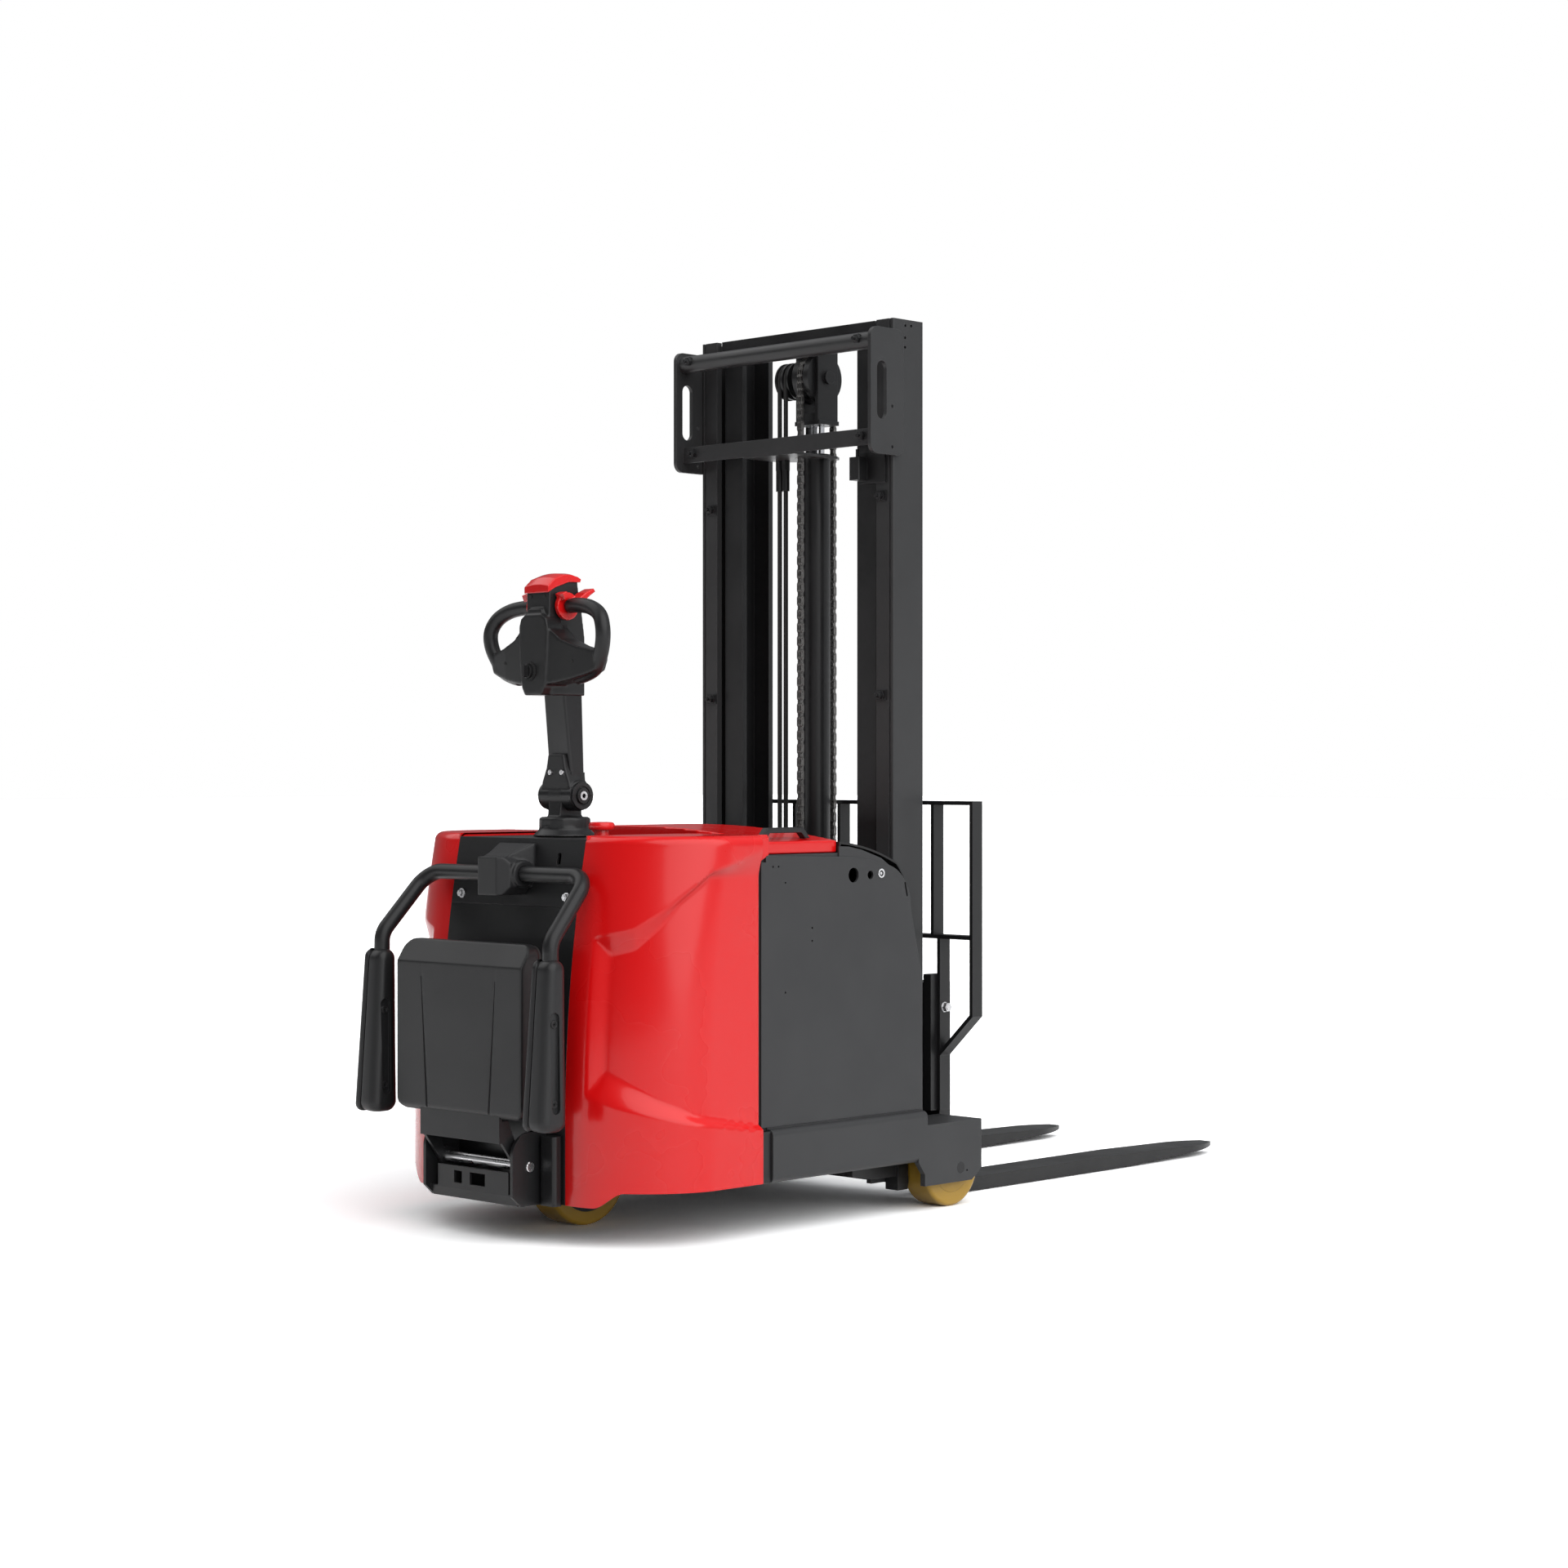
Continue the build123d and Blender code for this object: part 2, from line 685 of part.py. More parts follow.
with BuildPart() as mast_guard:
    for ends in both_ways(mast_half, mast_half + guard_plate):
        with BuildSketch(across(ends[0])):
            with Locations(((guard_y[0] + guard_y[1]) / 2, (guard_z[0] + guard_z[1]) / 2)):
                RectangleRounded(guard_y[1] - guard_y[0], guard_z[1] - guard_z[0], 22)
            with Locations((-49.5, sum(guard_z) / 2 + 1)):
                SlotOverall(133, 33, rotation=90, mode=Mode.SUBTRACT)
            with Locations((-14, guard_z[0] + 111), (-14, guard_z[0] + 18)):
                Circle(4, mode=Mode.SUBTRACT)
        extrude(amount=guard_plate)
    cross_bar(20, (-mast_half, mast_half), guard_bar_y, guard_z[1] - 29)
    bar_z = (clamp_z + 3, clamp_z + 41)
    block((-mast_half, mast_half), (guard_bar_y - 3, guard_bar_y + 3), bar_z)
    with BuildSketch(level(clamp_z)):
        with BuildLine():
            Polyline(
                (-108, guard_bar_y - 3),
                (60, guard_bar_y - 3),
                (barrel_radius + 16, hose_rear),
                (barrel_radius + 16, lift_y + 20),
                (barrel_radius - 2, lift_y + barrel_radius + 14),
                (-barrel_radius + 2, lift_y + barrel_radius + 14),
                (-108, hose_rear + 22),
                close=True,
            )
        make_face()
        with Locations((0, lift_y)):
            Circle(barrel_radius + run_gap, mode=Mode.SUBTRACT)
        with Locations((0, lift_y - strand_radius)):
            Rectangle(chain_width + 8, chain_thick + 8, mode=Mode.SUBTRACT)
        with Locations(*[(x, hose_rear) for x in hose_xs]):
            Circle(hose_radius + 1, mode=Mode.SUBTRACT)
    extrude(amount=clamp_thick)
finish(mast_guard.part, "mast_guard")

# Height switch on a bent bracket behind the right mast channel.
switch_z = mast_height - 375
with BuildPart() as height_switch:
    block((mast_half - 101, mast_half - 21), (-6, 0), (switch_z, switch_z + 73))
    block((mast_half - 106, mast_half - 75), (-36, -6), (switch_z + 7, switch_z + 60))
    fillet(height_switch.edges().filter_by(Axis.Z).group_by(Axis.Y)[0], 5)
    post(4, mast_half - 91, -22, (switch_z + 60, switch_z + 79))
finish(height_switch.part, "height_switch")

# Lift cylinder: barrel on the foot plate and the rod that lifts the crosshead.
piston_low = 200.0
piston_high = 240.0
gland_low = barrel_top - 45
crosshead_low = mast_height - 217

with BuildPart() as lift_cylinder:
    post(barrel_radius, 0, lift_y, (mast_foot, barrel_top))
    post(barrel_bore, 0, lift_y, (piston_low - 10, gland_low), Mode.SUBTRACT)
    post(rod_radius + run_gap, 0, lift_y, (gland_low - 1, barrel_top + 1), Mode.SUBTRACT)
finish(lift_cylinder.part, "lift_cylinder")

with BuildPart() as lift_rod:
    post(rod_radius, 0, lift_y, (piston_low, crosshead_low))
    post(barrel_bore - run_gap, 0, lift_y, (piston_low, piston_high))
finish(lift_rod.part, "lift_rod")

# Inner mast: nested channels with the head beam and a foot cut away round the cylinder.
inner_half = mast_half - outer_reach - inner_gap
head_low = mast_height - 28.0
head_plate = 12.0
inner_foot = 14.0

with BuildPart() as inner_mast:
    with BuildSketch(level(inner_bottom)):
        with BuildLine():
            channel(inner_half, inner_web, inner_flange, inner_reach, inner_set, mast_depth)
        make_face()
    extrude(amount=mast_height - inner_bottom)
    fillet(inner_mast.edges().filter_by(Axis.Z).group_by(Axis.X)[-1], 4)
    mirror(about=Plane.YZ)
    block((-inner_half, inner_half), (6, inner_set + inner_flange), (head_low, mast_height))
    block((-60, 60), (inner_set, lift_y + 36), (head_low, head_low + head_plate))
    foot_y = (inner_set, inner_set + mast_depth)
    block((-inner_half, inner_half), foot_y, (inner_bottom, inner_bottom + inner_foot))
    block(
        (hose_xs[0] - 16, barrel_radius + 28),
        (inner_set - 1, inner_set + mast_depth - 8),
        (inner_bottom - 1, inner_bottom + inner_foot + 1),
        Mode.SUBTRACT,
    )
finish(inner_mast.part, "inner_mast")

# Mast rollers: pairs on the inner mast that run inside the outer channels.
roller_width = 32.0
outer_channel_y = mast_depth / 2
mast_roller_radius = mast_depth / 2 - outer_flange - seat_gap
mast_roller_heights = (150.0, 420.0)

with BuildPart() as mast_rollers:
    for hand in (-1, 1):
        for z in mast_roller_heights:
            web_x = mast_half - outer_web - 3
            cross_bar(mast_roller_radius, (hand * (web_x - roller_width), hand * web_x), outer_channel_y, z)
            cross_bar(12, (hand * inner_half, hand * (web_x - roller_width)), outer_channel_y, z)
finish(mast_rollers.part, "mast_rollers")

# Crosshead: cheek plates on the rod, hung from the head beam, with the sheave axle.
cheek_gap = 52.0
crosshead_cheek = 10.0
crosshead_half = 34.0
sheave_axle = 10.0
hose_sheave_x = (-97.0, -55.0)

with BuildPart() as crosshead:
    for ends in both_ways(cheek_gap / 2, cheek_gap / 2 + crosshead_cheek):
        with BuildSketch(across(ends[0])):
            with Locations((lift_y, (crosshead_low + head_low) / 2)):
                RectangleRounded(2 * crosshead_half, head_low - crosshead_low, 6)
        extrude(amount=crosshead_cheek)
    block(
        (-cheek_gap / 2, cheek_gap / 2),
        (lift_y - crosshead_half + 4, lift_y + crosshead_half - 4),
        (crosshead_low, crosshead_low + 28),
    )
    cheek_outer = cheek_gap / 2 + crosshead_cheek
    foot_y = (lift_y - crosshead_half, lift_y + crosshead_half)
    block((-cheek_outer - 4, cheek_outer + 4), foot_y, (crosshead_low, crosshead_low + 10))
    cross_bar(sheave_axle, (hose_sheave_x[0] - 4, cheek_outer), lift_y, sheave_z)
    cross_bar(16, (cheek_outer, cheek_outer + 8), lift_y, sheave_z)
    cross_bar(16, (hose_sheave_x[0] - 8, hose_sheave_x[0] - seat_gap), lift_y, sheave_z)
finish(crosshead.part, "crosshead")


def sheave(x_ends, groove, rim, groove_widths):
    """Grooved wheel on the crosshead axle: a rim turned down over each groove."""
    with BuildPart() as wheel:
        cross_bar(rim, x_ends, lift_y, sheave_z)
        for middle, width in groove_widths:
            with BuildPart(mode=Mode.PRIVATE) as ring:
                cross_bar(rim + 1, (middle - width / 2, middle + width / 2), lift_y, sheave_z)
                cross_bar(groove, (middle - width / 2, middle + width / 2), lift_y, sheave_z, Mode.SUBTRACT)
            add(ring.part, mode=Mode.SUBTRACT)
        cross_bar(sheave_axle + run_gap, (x_ends[0] - 1, x_ends[1] + 1), lift_y, sheave_z, Mode.SUBTRACT)
    return wheel.part


chain_sheave_half = cheek_gap / 2 - seat_gap
finish(
    sheave(
        (-chain_sheave_half, chain_sheave_half),
        chain_radius - seat_gap,
        chain_radius + chain_thick - 2,
        ((0.0, chain_width + 2),),
    ),
    "chain_sheave",
)
finish(
    sheave(
        hose_sheave_x,
        hose_wrap - hose_radius - seat_gap,
        hose_wrap + hose_radius + 1,
        [(x, 2 * hose_radius + 2) for x in hose_xs],
    ),
    "hose_sheave",
)

# Lift chain: leaf chain from the mast tie, over the sheave, down to the fork carriage.
chain_low_rear = tie_heights[1][1]
chain_low_front = 330.0

with BuildPart() as lift_chain:
    with BuildSketch(across(-chain_width / 2)):
        with BuildLine():
            strand_rear = lift_y - chain_radius - chain_thick
            Line((strand_rear, chain_low_rear), (strand_rear, sheave_z))
            ThreePointArc(
                (strand_rear, sheave_z),
                (lift_y, sheave_z + chain_radius + chain_thick),
                (lift_y + chain_radius + chain_thick, sheave_z),
            )
            Polyline(
                (lift_y + chain_radius + chain_thick, sheave_z),
                (lift_y + chain_radius + chain_thick, chain_low_front),
                (lift_y + chain_radius, chain_low_front),
                (lift_y + chain_radius, sheave_z),
            )
            ThreePointArc(
                (lift_y + chain_radius, sheave_z),
                (lift_y, sheave_z + chain_radius),
                (lift_y - chain_radius, sheave_z),
            )
            Polyline(
                (lift_y - chain_radius, sheave_z),
                (lift_y - chain_radius, chain_low_rear),
                (lift_y - chain_radius - chain_thick, chain_low_rear),
            )
        make_face()
    extrude(amount=chain_width)
finish(lift_chain.part, "lift_chain")

# Hoses: fixed pair from the body to the clamp plate, and a running pair over the sheave.
fitting_low = clamp_z - 73
nipple_top = clamp_z + clamp_thick + 12.0
hose_bend = 60.0
hose_exit_z = 700.0
hose_exit_y = -68.0

with BuildPart() as hose_fittings:
    for x in hose_xs:
        post(fitting_radius, x, hose_rear, (fitting_low, clamp_z - 24))
        with BuildSketch(level(clamp_z - 24)):
            with Locations((x, hose_rear)):
                RegularPolygon(10.0, 6)
        extrude(amount=24)
        post(hose_radius + 0.5, x, hose_rear, (clamp_z, nipple_top))
        post(hose_radius, x, hose_rear, (nipple_top - 8, nipple_top + 1), Mode.SUBTRACT)
        post(hose_radius, x, hose_rear, (fitting_low - 1, fitting_low + 8), Mode.SUBTRACT)
finish(hose_fittings.part, "hose_fittings")


def hose_pair(draw):
    """Two round hoses side by side along the route that draw makes in the side view."""
    with BuildPart() as pair:
        for x in hose_xs:
            with BuildLine(across(x)) as route:
                draw()
            with BuildSketch(Plane(origin=route.line @ 0, z_dir=route.line % 0)) as section:
                Circle(hose_radius)
            sweep(section.sketch, path=route.line)
    return pair.part


def lower_route():
    Line((hose_rear, fitting_low + 8), (hose_rear, hose_exit_z + hose_bend))
    RadiusArc(
        (hose_rear, hose_exit_z + hose_bend),
        (hose_rear - hose_bend, hose_exit_z),
        hose_bend,
    )
    Line((hose_rear - hose_bend, hose_exit_z), (hose_exit_y, hose_exit_z))


def upper_route():
    Line((hose_rear, nipple_top - 8), (hose_rear, sheave_z))
    ThreePointArc(
        (hose_rear, sheave_z),
        (lift_y, sheave_z + hose_wrap),
        (lift_y + hose_wrap, sheave_z),
    )
    Line((lift_y + hose_wrap, sheave_z), (lift_y + hose_wrap, chain_low_front))


finish(hose_pair(lower_route), "hoses_fixed")
finish(hose_pair(upper_route), "hoses_running")

# Fork carriage: roller plates, cross plates and end plates welded into one frame.
carriage_front = shank_front - shank_thick
carriage_plate = 28.0
carriage_rear = carriage_front - carriage_plate
roller_plate = 14.0
roller_plate_x = inner_half - inner_reach - 2 - roller_plate
carriage_low = 95.0
carriage_high = 521.0
lower_bar = (carriage_low, 170.0)
upper_bar = (430.0, 500.0)
end_plate_low = leg_top + 9
fork_outer = fork_spread / 2
backrest_x = mast_half

with BuildPart() as fork_carriage:
    for heights in (lower_bar, upper_bar):
        block((-fork_outer, fork_outer), (carriage_rear, carriage_front), heights)
    for ends in both_ways(roller_plate_x, roller_plate_x + roller_plate):
        with BuildSketch(across(ends[0])):
            with BuildLine():
                Polyline(
                    (inner_set + 20, carriage_low),
                    (carriage_rear, carriage_low),
                    (carriage_rear, carriage_high),
                    (inner_set + 60, carriage_high),
                    (inner_set + 20, carriage_high - 50),
                    close=True,
                )
            make_face()
        extrude(amount=roller_plate)
    for ends in both_ways(backrest_x - 23, backrest_x):
        block(ends, (carriage_rear - 15, carriage_front), (end_plate_low, carriage_high))
    block((hose_xs[0] - 12, 30), (carriage_rear, carriage_rear + 8), (lower_bar[1], upper_bar[0]))
    block((-16, 16), (lift_y + chain_radius - 6, carriage_rear), (chain_low_front - 30, chain_low_front))
    hose_lug_x = (hose_xs[0] - 12, hose_xs[1] + 12)
    lug_z = (chain_low_front - 30, chain_low_front)
    block(hose_lug_x, (lift_y + hose_wrap - 12, carriage_rear), lug_z)
finish(fork_carriage.part, "fork_carriage")

inner_channel_y = inner_set + mast_depth / 2
carriage_roller_radius = mast_depth / 2 - inner_flange - seat_gap
with BuildPart() as carriage_rollers:
    for hand in (-1, 1):
        for z in (150.0, 460.0):
            plate_x = roller_plate_x + roller_plate
            roller_x = (hand * (plate_x + 4), hand * (inner_half - inner_web - 4))
            cross_bar(carriage_roller_radius, roller_x, inner_channel_y, z)
            cross_bar(12, (hand * plate_x, hand * (plate_x + 4)), inner_channel_y, z)
finish(carriage_rollers.part, "carriage_rollers")

# Forks: forged blades with a radiused heel and a tapered, narrowed tip.
heel_radius = 26.0
fork_tip_y = shank_front + fork_length
fork_taper_y = fork_tip_y - fork_taper
fork_top = fork_floor_gap + fork_thick
tip_bevel = 120.0

for name, middle in (("right", fork_outer - fork_width / 2), ("left", fork_width / 2 - fork_outer)):
    with BuildPart() as fork:
        with BuildSketch(across(middle - fork_width / 2)):
            with BuildLine():
                Polyline(
                    (carriage_front, fork_floor_gap + 20),
                    (carriage_front + 20, fork_floor_gap),
                    (fork_taper_y, fork_floor_gap),
                    (fork_tip_y, fork_top - 7 - fork_tip_thick),
                    (fork_tip_y, fork_top - 7),
                    (fork_taper_y, fork_top),
                    (shank_front, fork_top),
                    (shank_front, shank_top),
                    (carriage_front, shank_top),
                    close=True,
                )
            make_face()
        extrude(amount=fork_width)
        heel = (middle, mast_y + shank_front, fork_top)
        fillet(fork.edges().filter_by(Axis.X).sort_by_distance(heel)[0], heel_radius)
        with BuildSketch(level(0)):
            with BuildLine():
                Polyline(
                    (middle - fork_width / 2, carriage_front),
                    (middle + fork_width / 2, carriage_front),
                    (middle + fork_width / 2, fork_tip_y - tip_bevel),
                )
                ThreePointArc(
                    (middle + fork_width / 2, fork_tip_y - tip_bevel),
                    (middle + fork_width * 0.42, fork_tip_y - tip_bevel * 0.5),
                    (middle + fork_tip_width / 2, fork_tip_y),
                )
                Line((middle + fork_tip_width / 2, fork_tip_y), (middle - fork_tip_width / 2, fork_tip_y))
                ThreePointArc(
                    (middle - fork_tip_width / 2, fork_tip_y),
                    (middle - fork_width * 0.42, fork_tip_y - tip_bevel * 0.5),
                    (middle - fork_width / 2, fork_tip_y - tip_bevel),
                )
                Line(
                    (middle - fork_width / 2, fork_tip_y - tip_bevel),
                    (middle - fork_width / 2, carriage_front),
                )
            make_face()
        extrude(amount=shank_top, mode=Mode.INTERSECT)
    finish(fork.part, f"fork_{name}")

# Load backrest: welded flat bars, wider than the carriage above its lower posts.
backrest_half = half_width - 23
backrest_top = 923.0
backrest_bar = 9.0
backrest_depth = 35.0
backrest_rear = carriage_rear + 7
backrest_mid = 608.0
backrest_knee = 427.0
backrest_toe = 332.0
bar_pitch = 149.0
post_outer = backrest_x + backrest_bar

with BuildPart() as load_backrest:
    with BuildSketch(facing_rear(backrest_rear + backrest_depth)):
        with BuildLine():
            Polyline(
                (-backrest_half, backrest_top),
                (backrest_half, backrest_top),
                (backrest_half, backrest_knee),
                (post_outer, backrest_toe),
                (post_outer, end_plate_low),
                (-post_outer, end_plate_low),
                (-post_outer, backrest_toe),
                (-backrest_half, backrest_knee),
                close=True,
            )
        make_face()
        offset(amount=-backrest_bar, mode=Mode.SUBTRACT)
        with Locations((0, end_plate_low)):
            Rectangle(2 * backrest_x, 4 * backrest_bar, mode=Mode.SUBTRACT)
        for hand in (-1, 1):
            with Locations((hand * (backrest_x + backrest_bar / 2), (end_plate_low + backrest_mid) / 2)):
                Rectangle(backrest_bar, backrest_mid - end_plate_low)
        with Locations((0, backrest_mid)):
            Rectangle(2 * backrest_half - backrest_bar, backrest_bar)
        for count in range(-2, 3):
            with Locations((count * bar_pitch, (backrest_mid + backrest_top) / 2)):
                Rectangle(backrest_bar, backrest_top - backrest_mid - backrest_bar)
    extrude(amount=backrest_depth)
finish(load_backrest.part, "load_backrest")

# Load wheels: cushion tyres on hubs that turn on fixed axles between the leg plates.
hub_radius = 58.0
hub_boss = 24.0
wheel_mid_x = (leg_inner + half_width) / 2

for name, hand in (("right", 1), ("left", -1)):
    middle = hand * (wheel_mid_x + 3)
    ends = (middle - load_wheel_width / 2, middle + load_wheel_width / 2)
    legs = sorted((hand * (leg_inner + leg_plate + seat_gap), hand * (half_width - leg_plate - seat_gap)))
    with BuildPart() as load_tyre:
        cross_bar(load_wheel_radius, ends, axle_y, load_wheel_radius)
        fillet(load_tyre.edges().filter_by(GeomType.CIRCLE), 8)
        cross_bar(hub_radius, ends, axle_y, load_wheel_radius, Mode.SUBTRACT)
    finish(load_tyre.part, f"load_tyre_{name}")
    with BuildPart() as load_hub:
        cross_bar(hub_radius, ends, axle_y, load_wheel_radius)
        cross_bar(hub_boss, legs, axle_y, load_wheel_radius)
        cross_bar(load_axle_radius + run_gap, legs, axle_y, load_wheel_radius, Mode.SUBTRACT)
    finish(load_hub.part, f"load_hub_{name}")
    with BuildPart() as load_axle:
        cross_bar(load_axle_radius, sorted((hand * leg_inner, hand * half_width)), axle_y, load_wheel_radius)
    finish(load_axle.part, f"load_axle_{name}")

# Steering turret: bearing plate in the deck plate, with the fork that holds the drive wheel.
turret_radius = 110.0
turret_bridge = (262.0, 300.0)
fork_cheek = 12.0
drive_gap = 6.5
drive_axle_radius = 15.0
cheek_inner = drive_wheel_width / 2 + drive_gap
wheel_y = steer_y + wheel_lead

with BuildPart() as steer_turret:
    post(turret_radius, 0, steer_y, (turret_z, turret_z + turret_plate))
    post(turret_bore, 0, steer_y, (turret_bridge[1], turret_z))
    bridge_x = cheek_inner + fork_cheek
    block((-bridge_x, bridge_x), (steer_y - 60, wheel_y + 60), turret_bridge)
    for ends in both_ways(cheek_inner, bridge_x):
        with BuildSketch(across(ends[0])):
            with BuildLine():
                Polyline(
                    (wheel_y - 60, turret_bridge[1]),
                    (wheel_y - 60, turret_bridge[0] - 20),
                    (wheel_y - 32, drive_wheel_radius),
                )
                ThreePointArc(
                    (wheel_y - 32, drive_wheel_radius),
                    (wheel_y, drive_wheel_radius - 32),
                    (wheel_y + 32, drive_wheel_radius),
                )
                Polyline(
                    (wheel_y + 32, drive_wheel_radius),
                    (wheel_y + 60, turret_bridge[0] - 20),
                    (wheel_y + 60, turret_bridge[1]),
                    (wheel_y - 60, turret_bridge[1]),
                )
            make_face()
            with Locations((wheel_y, drive_wheel_radius)):
                Circle(drive_axle_radius, mode=Mode.SUBTRACT)
        extrude(amount=fork_cheek)
finish(steer_turret.part, "steer_turret")

# Drive motor: upright motor with its brake housing, standing on the turret.
motor_radius = 84.0
motor_top = 560.0
brake_radius = 58.0
brake_top = 610.0

with BuildPart() as drive_motor:
    post(motor_radius, 0, steer_y, (turret_z + turret_plate, motor_top))
    post(brake_radius, 0, steer_y, (motor_top, brake_top))
    fillet(drive_motor.edges().filter_by(GeomType.CIRCLE).group_by(Axis.Z)[-1], 8)
    terminal_y = (steer_y + motor_radius - 14, steer_y + motor_radius + 30)
    block((-40, 40), terminal_y, (motor_top - 130, motor_top - 20))
finish(drive_motor.part, "drive_motor")

drive_hub_radius = 85.0
tread_x = (-drive_wheel_width / 2, drive_wheel_width / 2)

with BuildPart() as drive_hub:
    cross_bar(drive_hub_radius, tread_x, wheel_y, drive_wheel_radius)
    cross_bar(30.0, (-cheek_inner + seat_gap, cheek_inner - seat_gap), wheel_y, drive_wheel_radius)
    cross_bar(drive_axle_radius - run_gap, (-bridge_x, bridge_x), wheel_y, drive_wheel_radius)
finish(drive_hub.part, "drive_hub")

with BuildPart() as drive_tyre:
    cross_bar(drive_wheel_radius, tread_x, wheel_y, drive_wheel_radius)
    fillet(drive_tyre.edges().filter_by(GeomType.CIRCLE), 8)
    cross_bar(drive_hub_radius, tread_x, wheel_y, drive_wheel_radius, Mode.SUBTRACT)
finish(drive_tyre.part, "drive_tyre")

# Tiller base: steering column, boot, faceted collar and the lug of the tiller pivot.
boot_low = deck_top + 1.0
boot_high = 866.0
collar_radius = 56.0
collar_top = 893.0
pivot_radius = 31.0
pivot_half = 52.0
lug_half = 20.0
pin_radius = 10.0

with BuildPart() as tiller_base:
    with BuildSketch(across(0)):
        with BuildLine():
            Polyline(
                (steer_y, brake_top),
                (steer_y + column_radius, brake_top),
                (steer_y + column_radius, boot_low),
                (steer_y + boot_radius, boot_low),
                (steer_y + boot_radius, boot_low + 3),
                (steer_y + collar_radius, boot_high),
                (steer_y + collar_radius, collar_top - 4),
                (steer_y + collar_radius - 5, collar_top),
                (steer_y, collar_top),
                close=True,
            )
        make_face()
    revolve(axis=Axis((0, mast_y + steer_y, 0), (0, 0, 1)))
    with BuildSketch(across(-lug_half)):
        with BuildLine():
            Polyline(
                (steer_y - 26, tiller_z),
                (steer_y - 34, collar_top - 2),
                (steer_y + 34, collar_top - 2),
                (steer_y + 26, tiller_z),
            )
            ThreePointArc((steer_y + 26, tiller_z), (steer_y, tiller_z + 26), (steer_y - 26, tiller_z))
        make_face()
        with Locations((steer_y, tiller_z)):
            Circle(pin_radius + run_gap, mode=Mode.SUBTRACT)
    extrude(amount=2 * lug_half)
    with BuildSketch(level(collar_top)):
        with Locations((0, steer_y)):
            with PolarLocations(collar_radius + 1, 6, start_angle=30):
                Rectangle(6, 26)
    extrude(amount=boot_high + 4 - collar_top, mode=Mode.SUBTRACT)
finish(tiller_base.part, "tiller_base")

# Tiller arm: forked casting around the pivot lug, and the box column above it.
column_low = 990.0
head_low_z = 1163.0
column_half_low = 37.0
column_half_high = 34.0
column_rear = (-738.0, -757.0)
column_fore = (-699.0, -702.0)

with BuildPart() as tiller_arm:
    with BuildSketch(across(-pivot_half)):
        with BuildLine():
            ThreePointArc(
                (steer_y - pivot_radius, tiller_z),
                (steer_y, tiller_z - pivot_radius),
                (steer_y + pivot_radius, tiller_z),
            )
            Spline(
                (steer_y + pivot_radius, tiller_z),
                (column_fore[0] + 2, column_low - 22),
                (column_fore[0], column_low),
                tangents=((0, 1), (0, 1)),
            )
            Line((column_fore[0], column_low), (column_rear[0], column_low))
            Spline(
                (column_rear[0], column_low),
                (column_rear[0] - 3, column_low - 22),
                (steer_y - pivot_radius, tiller_z),
                tangents=((0, -1), (0, -1)),
            )
        make_face()
        with Locations((steer_y, tiller_z)):
            Circle(pin_radius, mode=Mode.SUBTRACT)
    extrude(amount=2 * pivot_half)
    with BuildSketch(facing_rear(-600)):
        with BuildLine():
            Polyline(
                (-pivot_half, tiller_z - pivot_radius - 1),
                (pivot_half, tiller_z - pivot_radius - 1),
                (pivot_half, tiller_z + 14),
                (column_half_low, column_low - 18),
                (column_half_low, column_low),
                (-column_half_low, column_low),
                (-column_half_low, column_low - 18),
                (-pivot_half, tiller_z + 14),
                close=True,
            )
        make_face()
    extrude(amount=300, mode=Mode.INTERSECT)
    block(
        (-lug_half - seat_gap, lug_half + seat_gap),
        (steer_y - 50, steer_y + 50),
        (tiller_z - pivot_radius - 1, tiller_z + pivot_radius - 1),
        Mode.SUBTRACT,
    )
    for z, half, back, fore in (
        (column_low, column_half_low, column_rear[0], column_fore[0]),
        (head_low_z, column_half_high, column_rear[1], column_fore[1]),
    ):
        with BuildSketch(level(z)):
            with Locations((0, (back + fore) / 2)):
                RectangleRounded(2 * half, fore - back, 6)
    loft()
    cross_bar(pin_radius, (-pivot_half, pivot_half), steer_y, tiller_z)
finish(tiller_arm.part, "tiller_arm")

# Tiller head: moulded body and wings, with a closed loop grip on each side.
head_half = 40.0
head_fore = -722.0
head_rear = -815.0
head_top = 1408.0
grip_radius = 16.0
disc_radius = 31.0
disc_width = 13.0
grip_start = head_half + disc_width + 2 * seat_gap
paddle_y = -760.0
paddle_z = 1350.0
key_x = -10.0
key_z = 1209.0
key_radius = 15.0
shaft_radius = 6.0
stem_radius = 6.0

